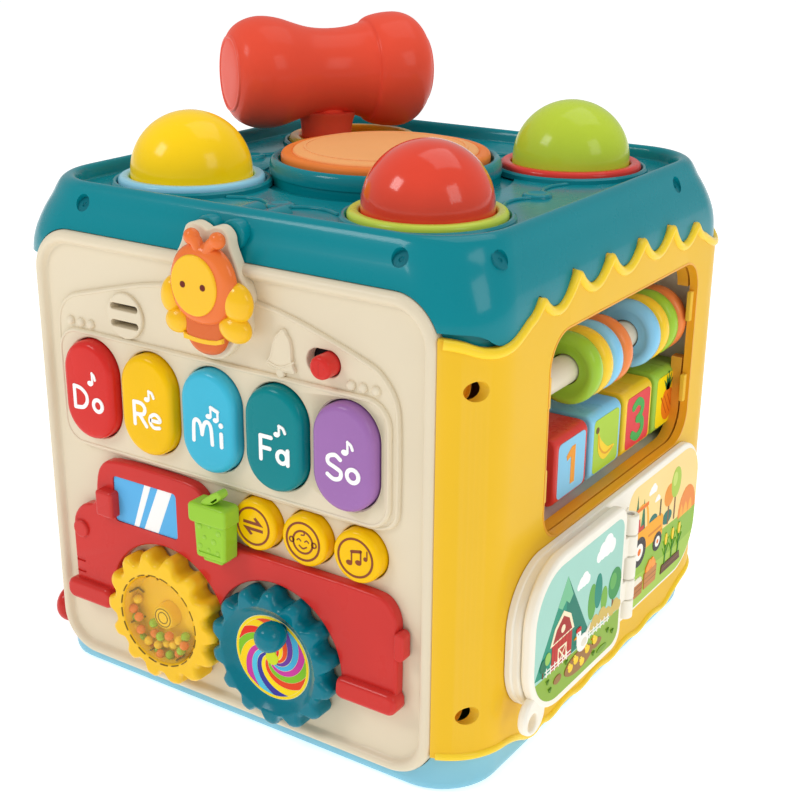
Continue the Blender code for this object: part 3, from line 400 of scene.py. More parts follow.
def turned(profile, along="z", centre=(0, 0, 0), steps=72):
    """Spins (radius, height) points; along y the height runs to -Y, along x to +X."""
    bm = bmesh.new()
    rings = []
    for r, h in profile:
        if r <= 1e-6:
            rings.append([bm.verts.new(Vector((0, 0, h)) * MM)])
        else:
            rings.append([bm.verts.new(Vector((r * math.cos(2 * math.pi * k / steps), r * math.sin(2 * math.pi * k / steps), h)) * MM) for k in range(steps)])
    pairs = list(zip(rings, rings[1:]))
    if profile[0][0] > 1e-6 and profile[-1][0] > 1e-6:
        pairs.append((rings[-1], rings[0]))
    for r0, r1 in pairs:
        for k in range(steps):
            j = (k + 1) % steps
            if len(r0) == 1 and len(r1) == 1:
                continue
            if len(r0) == 1:
                bm.faces.new((r0[0], r1[k], r1[j]))
            elif len(r1) == 1:
                bm.faces.new((r0[k], r0[j], r1[0]))
            else:
                bm.faces.new((r0[k], r0[j], r1[j], r1[k]))
    turn = {"z": Matrix(), "y": Matrix.Rotation(math.radians(90), 4, "X"), "x": Matrix.Rotation(math.radians(90), 4, "Y")}[along]
    bmesh.ops.transform(bm, matrix=Matrix.Translation(Vector(centre) * MM) @ turn, verts=bm.verts)
    bmesh.ops.recalc_face_normals(bm, faces=bm.faces)
    return bm


def soft(profile, times=2):
    return chaikin(profile, times, closed=False)


def box(x0, x1, y0, y1, z0, z1, edge=0.0, segments=3):
    bm = bmesh.new()
    bmesh.ops.create_cube(bm, size=1.0)
    for v in bm.verts:
        v.co = Vector(((x0 + x1) / 2 + v.co.x * (x1 - x0), (y0 + y1) / 2 + v.co.y * (y1 - y0), (z0 + z1) / 2 + v.co.z * (z1 - z0))) * MM
    if edge:
        bmesh.ops.bevel(bm, geom=list(bm.edges), offset=edge * MM, segments=segments, profile=0.5, affect="EDGES")
    return bm


def ball(centre, radii, u=24, v=14):
    bm = bmesh.new()
    bmesh.ops.create_uvsphere(bm, u_segments=u, v_segments=v, radius=1.0)
    rx, ry, rz = radii if hasattr(radii, "__len__") else (radii,) * 3
    for w in bm.verts:
        w.co = Vector((centre[0] + w.co.x * rx, centre[1] + w.co.y * ry, centre[2] + w.co.z * rz)) * MM
    return bm


def tube(points, radius, sides=12, closed=False, section=None, ups=None, caps=True):
    """Sweeps a round (or given) section along 3-D points; radius may be a list."""
    pts = [Vector(p) for p in points]
    count = len(pts)
    bm = bmesh.new()
    rings = []
    up = Vector((0, 0, 1))
    for i, p in enumerate(pts):
        a = pts[i - 1] if (i or closed) else p
        b = pts[(i + 1) % count] if (i < count - 1 or closed) else p
        t = (b - a).normalized()
        if ups:
            n = Vector(ups[i])
        else:
            n = up - t * up.dot(t)
            if n.length < 1e-3:
                n = Vector((1, 0, 0)) - t * t.x
        n = (n - t * n.dot(t)).normalized()
        s = t.cross(n)
        up = n
        r = radius[i] if hasattr(radius, "__len__") else radius
        shape = section or [(math.cos(2 * math.pi * k / sides), math.sin(2 * math.pi * k / sides)) for k in range(sides)]
        rings.append([bm.verts.new((p + n * x * r + s * y * r) * MM) for x, y in shape])
    m = len(rings[0])
    for i in range(count if closed else count - 1):
        r0, r1 = rings[i], rings[(i + 1) % count]
        for k in range(m):
            bm.faces.new((r0[k], r0[(k + 1) % m], r1[(k + 1) % m], r1[k]))
    if not closed and caps:
        bm.faces.new(rings[0][::-1])
        bm.faces.new(rings[-1])
    bmesh.ops.recalc_face_normals(bm, faces=bm.faces)
    return bm


def sausage(points, r, sides=14, per=6):
    """A tube with round ends through a few points."""
    line = [Vector(p) for p in curve(points, per)]
    start, end = line[0], line[-1]
    d0, d1 = (line[0] - line[1]).normalized(), (line[-1] - line[-2]).normalized()
    cap = [math.pi / 2 * k / 5 for k in range(5, 0, -1)]
    pts = [start + d0 * r * math.sin(a) for a in cap] + line + [end + d1 * r * math.sin(a) for a in reversed(cap)]
    rad = [max(0.02, r * math.cos(a)) for a in cap] + [r] * len(line) + [max(0.02, r * math.cos(a)) for a in reversed(cap)]
    return tube(pts, rad, sides)


def joined(*parts):
    whole = bmesh.new()
    for bm in parts:
        mesh = bpy.data.meshes.new("part")
        bm.to_mesh(mesh)
        bm.free()
        whole.from_mesh(mesh)
        bpy.data.meshes.remove(mesh)
    return whole


def moved(bm, matrix):
    bmesh.ops.transform(bm, matrix=matrix, verts=bm.verts)
    return bm


def carve(bm, cutters, operation="DIFFERENCE", solver="EXACT"):
    objs = []

    def temp(b, name):
        bmesh.ops.remove_doubles(b, verts=b.verts, dist=1e-7)
        bmesh.ops.recalc_face_normals(b, faces=b.faces)
        mesh = bpy.data.meshes.new(name)
        b.to_mesh(mesh)
        b.free()
        obj = bpy.data.objects.new(name, mesh)
        scene.collection.objects.link(obj)
        objs.append(obj)
        return obj

    base = temp(bm, "carve_base")
    for k, cutter in enumerate(cutters):
        mod = base.modifiers.new("c%d" % k, "BOOLEAN")
        mod.operation = operation
        mod.solver = solver
        mod.object = temp(cutter, "carve_tool")
    bpy.context.view_layer.update()
    got = bpy.data.meshes.new_from_object(base.evaluated_get(bpy.context.evaluated_depsgraph_get()))
    out = bmesh.new()
    out.from_mesh(got)
    bpy.data.meshes.remove(got)
    for obj in objs:
        mesh = obj.data
        bpy.data.objects.remove(obj, do_unlink=True)
        bpy.data.meshes.remove(mesh)
    return out


class Piece:
    """One finished piece: several meshes with their own materials, as one object."""

    def __init__(self, name):
        self.name, self.bm, self.mats = name, bmesh.new(), []

    def add(self, bm, mat):
        if mat not in self.mats:
            self.mats.append(mat)
        index = self.mats.index(mat)
        for face in bm.faces:
            face.material_index = index
        mesh = bpy.data.meshes.new("part")
        bm.to_mesh(mesh)
        bm.free()
        self.bm.from_mesh(mesh)
        bpy.data.meshes.remove(mesh)
        return self

    def done(self, body, *nodes, slot=None, angle=40, weighted=True):
        mesh = bpy.data.meshes.new(self.name)
        self.bm.to_mesh(mesh)
        self.bm.free()
        for mat in self.mats:
            mesh.materials.append(mat)
        mesh.shade_smooth()
        mesh.set_sharp_from_angle(angle=math.radians(angle))
        obj = bpy.data.objects.new(self.name, mesh)
        scene.collection.objects.link(obj)
        if weighted:
            mod = obj.modifiers.new("weighted", "WEIGHTED_NORMAL")
            mod.keep_sharp = True
            mod.weight = 60
        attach(obj, body)
        if nodes:
            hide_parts(*nodes)
        return obj


# ------------------------------------------------------------------ flat print
def flat(outline, height, along="y", thick=0.12):
    """A thin printed shape, on a face at that height; it faces away from the object."""
    sign = -1.0 if along == "y" else 1.0
    return slab(ccw([tuple(p) for p in outline]), height - sign * 0.3, height + sign * thick, along)


def stroke(points, width, height, along="y", thick=0.12, smooth=6, closed=False):
    """A printed line with round ends."""
    sign = -1.0 if along == "y" else 1.0
    place = AXES[along]
    if closed:
        line = [Vector(p) for p in points]
    else:
        line = curve(points, smooth) if smooth > 1 and len(points) > 2 else [Vector(p) for p in points]
    bm = bmesh.new()
    top, low = height + sign * thick, height - sign * 0.2
    left, right = [], []
    count = len(line)
    for i, p in enumerate(line):
        a = line[i - 1] if (i or closed) else p
        b = line[(i + 1) % count] if (i < count - 1 or closed) else p
        t = (b - a).normalized()
        n = Vector((-t.y, t.x)) * width / 2
        left.append([bm.verts.new(Vector(place(p.x + n.x, p.y + n.y, h)) * MM) for h in (top, low)])
        right.append([bm.verts.new(Vector(place(p.x - n.x, p.y - n.y, h)) * MM) for h in (top, low)])
    for i in range(count if closed else count - 1):
        j = (i + 1) % count
        bm.faces.new((left[i][0], left[j][0], right[j][0], right[i][0]))
        bm.faces.new((left[i][0], left[i][1], left[j][1], left[j][0]))
        bm.faces.new((right[i][0], right[j][0], right[j][1], right[i][1]))
        bm.faces.new((left[i][1], right[i][1], right[j][1], left[j][1]))
    if not closed:
        bm.faces.new((left[0][0], right[0][0], right[0][1], left[0][1]))
        bm.faces.new((left[-1][0], left[-1][1], right[-1][1], right[-1][0]))
    bmesh.ops.recalc_face_normals(bm, faces=bm.faces)
    if closed:
        return bm
    ends = [slab(circle(width / 2, 20, p.x, p.y), low, top - sign * 0.003 * (k + 1), along) for k, p in enumerate((line[0], line[-1]))]
    return joined(bm, *ends)


def ring_line(r, width, height, cx, cy, along="y", ry=None, n=56):
    return stroke(circle(r, n, cx, cy, ry=ry), width, height, along, closed=True)


# ------------------------------------------------------------------ layout of the object
HALF, CORNER = 100.0, 23.0
PANEL_HALF, PANEL_Z0, PANEL_Z1, PANEL_R = 84.8, 5.7, 174.1, 16.0
FIELD, PLATE1, PLATE2 = -97.5, -98.7, -99.9
KEY_X = (-57.5, -29.8, -2.0, 25.7, 53.4)
WORD_X = (-56.0, -28.0, 0.0, 28.0, 56.0)
KEY_Z, KEY_HW, KEY_HH = 118.3, 11.9, 18.4
BUTTON_X, BUTTON_Z, BUTTON_R = (15.2, 36.3, 57.5), 84.2, 9.3
WHEEL_X, WHEEL_Z = (-26.5, 23.7), 37.1
ARCH_R = 27.4
A = 50.9
WIN = (-54.0, 66.0, 81.0, 154.0)
ROD_X, ROD_Z = 83.5, 127.9
BEAD_Y = (-8.6, -0.4, 7.8, 16.0, 40.5, 48.7, 56.9, 65.1)
AXLE_X, AXLE_Z = 80.25, 97.25
BLOCK_Y = (-20.9, 6.7, 34.3, 61.9)
MID, HALF_H = (PANEL_Z0 + PANEL_Z1) / 2, (PANEL_Z1 - PANEL_Z0) / 2

TOP_KNOTS = [(-110, 163.5), (-97, 162.5), (-89, 158.2), (-80, 158.6), (-70, 163.0), (-62, 168.0),
             (-57, 168.8), (-50, 165.2), (-43, 168.8), (-37, 172.4), (-30, 170.0), (-24, 165.2),
             (-18, 169.4), (-12.5, 172.6), (-6, 169.4), (0.5, 165.2), (7, 169.6), (12.8, 172.6),
             (19, 169.4), (25.5, 165.2), (32, 169.6), (38, 172.4), (44, 169.0), (50, 165.2),
             (57, 168.8), (62, 168.0), (70, 163.0), (80, 158.6), (89, 158.2), (97, 162.5), (110, 163.5)]
LOW_KNOTS = [(-110, 16.5), (-97, 16.0), (-80, 14.8), (-68, 12.4), (-55, 5.6), (-48, 8.4), (-42, 5.8),
             (-29, 8.6), (-17, 5.8), (-4, 8.8), (8.5, 6.0), (21, 9.0), (33.5, 6.2), (45, 9.2),
             (57.5, 6.6), (66, 10.4), (80, 15.0), (97, 16.0), (110, 16.5)]
PLATE_OUTER = [(-75.6, 104), (-75.8, 136), (-75.2, 143.5), (-72.8, 148.3), (-68.4, 151.6), (-63.0, 153.1),
               (-22.0, 164.0), (18.8, 164.1), (60.7, 150.7), (66.3, 147.2), (71.1, 140.4), (72.2, 133), (72.2, 104),
               (71.5, 98.5), (67.5, 94.8), (60.7, 93.5), (-64, 93.5), (-71.5, 95.0), (-75.0, 99)]
BEE_BACK = [(-10.6, 182.6), (-9.2, 185.4), (-5.8, 186.4), (-2.4, 185.4), (-0.4, 184.2), (2.4, 186.0), (6.0, 186.0), (8.6, 183.4), (8.8, 180.0),
            (10.6, 176.0), (12.0, 172.6), (12.6, 170.4), (15.4, 167.6), (16.4, 162.6), (15.2, 158.6), (15.8, 153.6), (13.6, 149.4),
            (9.6, 147.6), (7.4, 144.0), (3.4, 141.2), (-2.0, 140.4), (-6.8, 141.8), (-10.4, 145.4), (-14.3, 147.2), (-18.2, 150.0),
            (-19.0, 154.6), (-18.3, 157.6), (-19.6, 162.2), (-19.0, 167.0), (-16.6, 170.6), (-14.3, 174.9), (-11.8, 178.8)]
TRUCK_LINE = [(-72.9, 39.5), (-72.9, 50.0), (-73.0, 62.0), (-71.2, 67.4), (-66.6, 71.6), (-60.0, 72.9), (-59.0, 84.0), (-56.6, 89.6), (-51.0, 93.0),
              (-14.5, 93.1), (-8.6, 91.0), (-5.7, 86.0), (-5.0, 73.1), (30.0, 73.1), (64.8, 73.1), (70.0, 71.4), (73.2, 66.0), (73.4, 60.0), (73.4, 50.0), (73.4, 40.0), (72.9, 34.0),
              (71.0, 31.3), (60.0, 31.3), (-60.0, 31.3), (-70.5, 31.3), (-72.6, 34.0)]


def cyl(r, c0, c1, along="z", a=0.0, b=0.0, n=40):
    return slab(circle(r, n, a, b), c0, c1, along)


def disc(r, front, back, cx, cz, edge=0.4, n=48):
    """A round raised disc on the front."""
    return slab(circle(r, n, cx, cz), back, front, "y", edge, 3)


# ------------------------------------------------------------------ front panel
def front_panel():
    def ring(dx, r, y):
        return (rounded(PANEL_HALF - dx, HALF_H - dx, r, 0, MID, 14), y)

    panel = pull([
        ring(4.8, 11.4, -94.5), ring(4.8, 11.4, -89.0), ring(0.3, PANEL_R, -89.0), ring(0, PANEL_R, -89.5), ring(0, PANEL_R, -97.4),
        ring(0.15, 15.9, -98.3), ring(0.6, 15.6, -99.1), ring(1.3, 14.9, -99.7), ring(2.2, 14.0, -100.0), ring(3.1, 13.1, -99.8),
        ring(3.8, 12.4, -99.3), ring(4.3, 11.9, -98.4), ring(4.7, 11.5, -97.8), ring(5.2, 11.0, FIELD)], "y")
    cutters = []
    for x in KEY_X:
        cutters.append(mouth(rounded(KEY_HW + 0.45, KEY_HH + 0.45, KEY_HW + 0.45, x, KEY_Z, 14), PLATE2, -90, "y", 0.5))
    for x in BUTTON_X:
        cutters.append(mouth(circle(BUTTON_R + 0.4, 60, x, BUTTON_Z), FIELD, -90, "y", 0.6))
    cutters.append(mouth(rounded(6.6, 4.4, 4.39, 43.0, 147.0, 12), PLATE1, -90, "y", 0.5))
    for x in WHEEL_X:
        cutters.append(cyl(3.3, -90, -105, "y", x, WHEEL_Z, 24))
    for z in (144.9, 151.0):
        cutters.append(mouth(rounded(6.4, 1.2, 1.19, -41.3, z, 8), -100.0, -90, "y", 0.35))
    cutters.append(box(-3.2, 3.2, -105, -90, 70.6, 84.4))
    outer = chaikin(ccw(PLATE_OUTER), 3)
    inner = rounded(71.9, 22.3, 9, -2.6, 117.2, 12)
    adds = [slab(outer, -95.6, PLATE1, "y", 0.7, 4), slab(inner, -95.9, PLATE2, "y", 0.7, 4),
            slab(chaikin(ccw(BEE_BACK), 2), -97.6, -101.9, "y", 0.9, 4),
            disc(8.3, -100.0, -96.5, -41.3, 147.9, 0.7, 56),
            ]
    for x in (-68.5, -63.5, -58.6, 53.9, 58.4, 63.3):
        adds.append(turned([(0, 96.0), (1.7, 96.0), (1.7, 98.9), (1.5, 99.5), (1.0, 99.9), (0, 100.0)], "y", (x, 0, 141.8), 20))
    half_bell = [(0.0, 7.6), (1.1, 7.2), (1.4, 6.3), (3.0, 4.8), (3.9, 2.0), (4.3, -1.6), (5.0, -3.8), (6.2, -5.2), (6.0, -6.3), (3.0, -6.9), (0.0, -7.0)]
    bell = half_bell + [(-x, z) for x, z in reversed(half_bell[1:-1])]
    tilt = math.radians(-6)
    bell = [(27.1 + x * math.cos(tilt) - z * math.sin(tilt), 148.2 + x * math.sin(tilt) + z * math.cos(tilt)) for x, z in bell]
    adds.append(slab(chaikin(ccw(bell), 1), -96.5, -99.9, "y", 0.6, 4))
    adds.append(disc(1.7, -100.1, -97, 26.5, 140.6, 0.6, 24))
    # rounded rims of the holes for the keys
    for x in KEY_X:
        adds.append(slab(rounded(KEY_HW + 1.0, KEY_HH + 1.0, KEY_HW + 1.0, x, KEY_Z, 14), -97, -100.15, "y", 0.25, 3))
    panel = carve(panel, adds, "UNION")
    panel = carve(panel, cutters)
    piece = Piece("front_panel_look")
    piece.add(panel, CREAM)
    piece.add(tube([(x, -99.75, z) for x, z in grow(chaikin(ccw(bell), 1), -0.5)], 0.36, 8, closed=True), CREAM)
    piece.add(sausage([(21.6, -99.8, 144.0), (24.4, -99.9, 143.0), (27.6, -99.9, 143.0), (32.0, -99.8, 145.2)], 0.36, 8, 5), CREAM)
    for line, y in ((outer, PLATE1), (inner, PLATE2)):
        piece.add(tube([(x, y + 0.32, z) for x, z in grow(line, -0.95)], 0.68, 12, closed=True), CREAM)
    piece.add(cyl(7.4, -94.0, -94.4, "y", -41.3, 147.9, 32), DARK)
    return piece.done("shell", "front_panel", slot="cream", angle=42)


def letters(x, kind, y):
    """Generic syllables and a note, as raised print, for one key."""
    w = 1.45
    out = []
    face = y

    def line(points, closed=False, width=w, smooth=6):
        out.append(stroke(points, width, face, "y", 0.18 + 0.02 * len(out), smooth, closed))

    def dot(cx, cz, rx=1.5, rz=1.15):
        out.append(flat(circle(rx, 20, cx, cz, ry=rz), face, "y", 0.18 + 0.02 * len(out)))

    c = x
    if kind == "do":
        line([(c - 7.6, 119.6), (c - 7.6, 111.6)], smooth=1)
        line([(c - 7.6, 119.6), (c - 4.4, 119.2), (c - 1.9, 117.3), (c - 1.6, 114.6), (c - 3.6, 112.2), (c - 7.6, 111.6)])
        line(circle(2.1, 24, c + 3.6, 114.0, ry=2.2), True)
        dot(c + 0.6, 121.9, 1.3, 1.0)
        line([(c + 1.7, 122.0), (c + 1.7, 126.0)], width=0.8, smooth=1)
        line([(c + 1.7, 125.8), (c + 2.6, 125.0), (c + 3.0, 123.6)], width=1.0)
    elif kind == "re":
        line([(c - 6.6, 111.4), (c - 6.6, 119.6)], smooth=1)
        line([(c - 6.6, 119.6), (c - 3.2, 119.5), (c - 1.6, 117.8), (c - 2.6, 115.6), (c - 6.4, 115.2)])
        line([(c - 4.2, 115.2), (c - 1.2, 111.4)], smooth=1)
        line([(c + 0.7, 114.2), (c + 5.0, 114.3), (c + 4.6, 115.9), (c + 2.8, 116.6), (c + 0.9, 115.4), (c + 0.6, 113.4), (c + 2.2, 111.7), (c + 4.8, 112.0)], width=1.3)
        dot(c - 0.4, 121.5, 1.2, 0.9)
        line([(c + 0.6, 121.6), (c + 0.6, 124.8)], width=0.8, smooth=1)
        line([(c + 0.6, 124.6), (c + 2.0, 124.2), (c + 2.8, 122.6)], width=1.0)
    elif kind == "mi":
        line([(c - 7.6, 111.4), (c - 7.3, 117.4), (c - 6.4, 119.0), (c - 5.0, 118.6), (c - 4.1, 116.6), (c - 3.8, 114.2)], smooth=5)
        line([(c - 3.8, 114.2), (c - 3.0, 117.4), (c - 1.8, 119.0), (c - 0.4, 118.6), (c + 0.3, 116.6), (c + 0.6, 111.4)], smooth=5)
        line([(c + 4.6, 111.4), (c + 4.6, 116.0)], smooth=1)
        dot(c + 4.6, 119.0, 0.95, 0.95)
        dot(c - 0.6, 121.3, 1.2, 0.9)
        dot(c + 2.4, 120.5, 1.1, 0.85)
        line([(c + 0.4, 121.4), (c + 0.4, 124.8)], width=0.8, smooth=1)
        line([(c + 3.4, 120.6), (c + 3.4, 123.9)], width=0.8, smooth=1)
        line([(c + 0.5, 124.7), (c + 3.4, 123.7)], width=1.3, smooth=1)
    elif kind == "fa":
        line([(c - 6.6, 111.4), (c - 6.6, 119.6)], smooth=1)
        line([(c - 6.6, 119.6), (c - 2.2, 119.6)], smooth=1)
        line([(c - 6.6, 115.6), (c - 2.8, 115.6)], smooth=1)
        line(circle(2.0, 24, c + 2.2, 113.7, ry=2.1), True, 1.4)
        line([(c + 4.5, 116.4), (c + 4.5, 111.4)], width=1.4, smooth=1)
        dot(c + 0.2, 121.3, 1.2, 0.9)
        line([(c + 1.2, 121.4), (c + 1.2, 124.6)], width=0.8, smooth=1)
        line([(c + 1.2, 124.4), (c + 2.8, 123.9), (c + 3.6, 122.4)], width=1.0)
    else:
        line([(c - 2.6, 118.4), (c - 4.6, 119.6), (c - 7.2, 118.6), (c - 7.2, 116.5), (c - 4.6, 115.4), (c - 2.4, 114.2), (c - 2.8, 112.0), (c - 5.2, 111.3), (c - 7.6, 112.5)], smooth=5)
        line(circle(2.2, 24, c + 2.2, 113.9, ry=2.2), True)
        dot(c - 0.8, 121.3, 1.3, 1.0)
        line([(c + 0.3, 121.4), (c + 0.3, 125.2)], width=0.8, smooth=1)
        line([(c + 0.3, 125.0), (c + 1.6, 124.2), (c + 2.2, 122.8)], width=1.0)
    return joined(*out)


def keys_and_buttons():
    for name, kind, x, word, mat in zip(("key_do", "key_re", "key_mi", "key_fa", "key_so"), ("do", "re", "mi", "fa", "so"), KEY_X, WORD_X, (RED, KEYYEL, KEYBLU, KEYTEA, KEYPUR)):
        face = rounded(KEY_HW, KEY_HH, KEY_HW, x, KEY_Z, 16)
        stem = grow(face, 0.9)
        levels = [(stem, -92.4), (stem, -94.1), (face, -94.1), (face, -101.4)]
        levels += [(grow(face, -i), -104.2 + d) for i, d in quarter(2.6, 8)][1:]
        levels += [(grow(face, -5.0), -104.34), (grow(face, -8.5), -104.42)]
        key = Piece(name + "_look")
        key.add(pull(levels, "y"), mat)
        key.add(letters(word, kind, -104.40), WHITE)
        key.done(name, name, angle=50)
    for name, x in zip(("button_swap", "button_face", "button_music"), BUTTON_X):
        button = Piece(name + "_look")
        cx, cz = x, BUTTON_Z
        button.add(turned([(0, 92.4), (10.2, 92.4), (10.2, 94.1), (9.3, 94.1), (9.3, 100.4), (9.2, 101.1), (8.8, 101.7), (8.2, 102.05), (7.4, 102.2), (0, 102.25)], "y", (cx, 0, cz), 64), KEYYEL)
        button.add(ring_line(6.7, 0.75, -102.22, cx, cz), BROWN)
        if name == "button_swap":
            for s in (1, -1):
                button.add(flat([(cx - s * 4.2, cz + s * 0.55), (cx + s * 4.4, cz + s * 0.55), (cx + s * 1.2, cz + s * 3.5), (cx + s * 0.2, cz + s * 2.9), (cx + s * 1.4, cz + s * 1.7), (cx - s * 4.2, cz + s * 1.7)], -102.2, "y", 0.08), BROWN)
        elif name == "button_face":
            button.add(ring_line(4.0, 0.7, -102.22, cx, cz - 0.2), BROWN)
            for s in (-1, 1):
                button.add(ring_line(0.9, 0.5, -102.22, cx + s * 4.6, cz - 0.2, n=18), BROWN)
                button.add(stroke([(cx + s * 2.4, cz + 0.1), (cx + s * 1.6, cz + 0.7), (cx + s * 0.8, cz + 0.1)], 0.5, -102.22, "y", 0.08), BROWN)
            button.add(stroke([(cx - 1.5, cz - 1.7), (cx, cz - 2.5), (cx + 1.5, cz - 1.7)], 0.55, -102.22, "y", 0.08), BROWN)
            button.add(stroke([(cx - 0.6, cz + 2.3), (cx + 0.6, cz + 2.6), (cx + 0.5, cz + 3.5), (cx - 0.4, cz + 3.7)], 0.5, -102.22, "y", 0.08), BROWN)
        else:
            for nx, nz in ((cx - 2.4, cz - 2.2), (cx + 1.2, cz - 1.4)):
                button.add(flat(circle(1.25, 20, nx, nz, ry=0.95), -102.2, "y", 0.08), BROWN)
                button.add(stroke([(nx + 0.95, nz), (nx + 0.95, nz + 4.2)], 0.6, -102.22, "y", 0.08, 1), BROWN)
            button.add(stroke([(cx - 1.45, cz + 2.0), (cx + 2.15, cz + 2.8)], 1.1, -102.22, "y", 0.08, 1), BROWN)
            button.add(flat(circle(0.8, 16, cx + 4.0, cz + 0.6), -102.2, "y", 0.08), BROWN)
            button.add(stroke([(cx + 4.6, cz + 0.6), (cx + 4.6, cz + 3.4)], 0.45, -102.22, "y", 0.08, 1), BROWN)
        button.done(name, name, angle=50)
    switch = Piece("volume_switch_look")
    face = rounded(4.0, 4.0, 3.99, 45.2, 147, 14)
    levels = [(rounded(7.6, 5.6, 2, 43.6, 147, 14), -91.6), (rounded(7.6, 5.6, 2, 43.6, 147, 14), -94.1), (face, -94.1), (face, -102.6)]
    levels += [(grow(face, -i), -104.4 + d) for i, d in quarter(1.6, 5)][1:]
    switch.add(pull(levels[:2] + [(grow(levels[1][0], -0.01), -94.12)], "y"), DARK)
    switch.add(pull([(face, -94.0)] + levels[3:], "y"), RED)
    switch.done("volume_switch", "volume_switch", angle=45)


# ------------------------------------------------------------------ truck, bin, bee
def truck():
    line = ccw(TRUCK_LINE)
    body = slab(chaikin(line, 2), FIELD - 0.3, -101.8, "y", 1.1, 5)
    cutters = [mouth(circle(ARCH_R, 96, x, WHEEL_Z), -101.8, -90, "y", 0.6) for x in WHEEL_X]
    cutters += [box(-26, 23, -110, -90, 20, 44), box(-3.2, 3.2, -110, -90, 70.6, 84.4)]
    for z in (47.6, 43.0):
        cutters.append(slab(rounded(2.6, 0.9, 0.85, -70.2, z, 6), -101.2, -104, "y"))
    cutters.append(slab(rounded(15.2, 9.0, 1.6, -35.2, 77.8, 8), -101.1, -104, "y"))
    body = carve(body, cutters)
    extras = [
        carve(slab(rounded(11.4, 4.1, 3.4, -64.6, 35.4, 8), -98.2, -104.6, "y", 1.8, 6), [cyl(ARCH_R, -90, -110, "y", WHEEL_X[0], WHEEL_Z, 96)]),
        carve(slab(rounded(12.4, 4.1, 3.4, 62.0, 34.6, 8), -98.2, -104.6, "y", 1.8, 6), [cyl(ARCH_R, -90, -110, "y", WHEEL_X[1], WHEEL_Z, 96)]),
        box(-56.6, -48.4, -105.6, -100.5, 70.6, 81.0, 1.3, 4),
        disc(3.6, -103.0, -100.5, -68.3, 61.0, 0.9, 32),
        slab(rounded(1.9, 5.2, 1.8, 74.6, 56.6, 8), -98.4, -102.8, "y", 0.9, 4),
    ]
    piece = Piece("truck_look")
    piece.add(body, TRUCK)
    for bm in extras:
        piece.add(bm, TRUCK)
    glass = ink("cab_window", (96, 182, 236))
    piece.add(slab(rounded(15.15, 8.95, 1.6, -35.2, 77.8, 8), -100.6, -101.3, "y"), glass)
    for shape in ([(-35.2, 86.6), (-32.2, 86.6), (-39.0, 69.0), (-41.4, 69.0)], [(-28.8, 86.6), (-22.2, 86.6), (-29.6, 69.0), (-36.4, 69.0)]):
        piece.add(flat(shape, -101.3, "y", 0.07), WHITE)
    return piece.done("shell", "truck_body", slot="red", angle=40)


def waste_bin():
    piece = Piece("waste_bin_look")
    body = [(x + (0.10 * (x - 1.2) * (z - 87.6) / 17.6), z) for x, z in rounded(7.2, 8.8, 1.6, 1.2, 78.8, 8)]
    levels = [(body, -102.3)] + [(grow(body, -i), -109.0 + d) for i, d in quarter(1.3, 5)]
    lid = slab(rounded(8.3, 3.7, 1.7, 1.2, 87.2, 8), -102.7, -110.4, "y", 1.2, 5)
    handle = slab(chaikin(ccw([(-3.4, 90.8), (5.0, 97.0), (6.8, 96.4), (7.0, 94.2), (2.0, 90.6)]), 1), -105.0, -109.4, "y", 0.8, 3)
    whole = carve(pull(levels, "y"), [lid, handle, slab(rounded(4.4, 2.0, 1.0, 1.1, 70.4, 6), -102.4, -107.6, "y", 0.7, 3),
                                      box(-2.8, 2.8, -103.5, -93.2, 72.0, 77.0), box(-5.8, 4.4, -94.1, -92.2, 70.4, 78.6)], "UNION")
    whole = carve(whole, [slab(ccw([(2.6, 92.4), (5.6, 94.8), (5.7, 93.9), (3.6, 92.2)]), -104, -111, "y"),
                          slab(rounded(4.8, 0.35, 0.3, 1.2, 72.6, 4), -108.7, -111, "y")])
    piece.add(whole, BIN)
    for dx, dz, r in ((-4.0, 3.6, 1.1), (0.4, 4.4, 0.8), (4.2, 2.6, 1.1), (-2.0, -0.2, 0.8), (2.0, -1.0, 1.1), (-4.2, -3.8, 1.0), (-0.4, -4.6, 0.8), (3.6, -5.0, 0.9)):
        piece.add(turned([(0, 108.6), (r, 108.6), (r * 0.9, 109.15), (r * 0.5, 109.4), (0, 109.45)], "y", (1.2 + dx, 0, 78.6 + dz), 20), BIN)
    return piece.done("waste_bin", "waste_bin", angle=42)


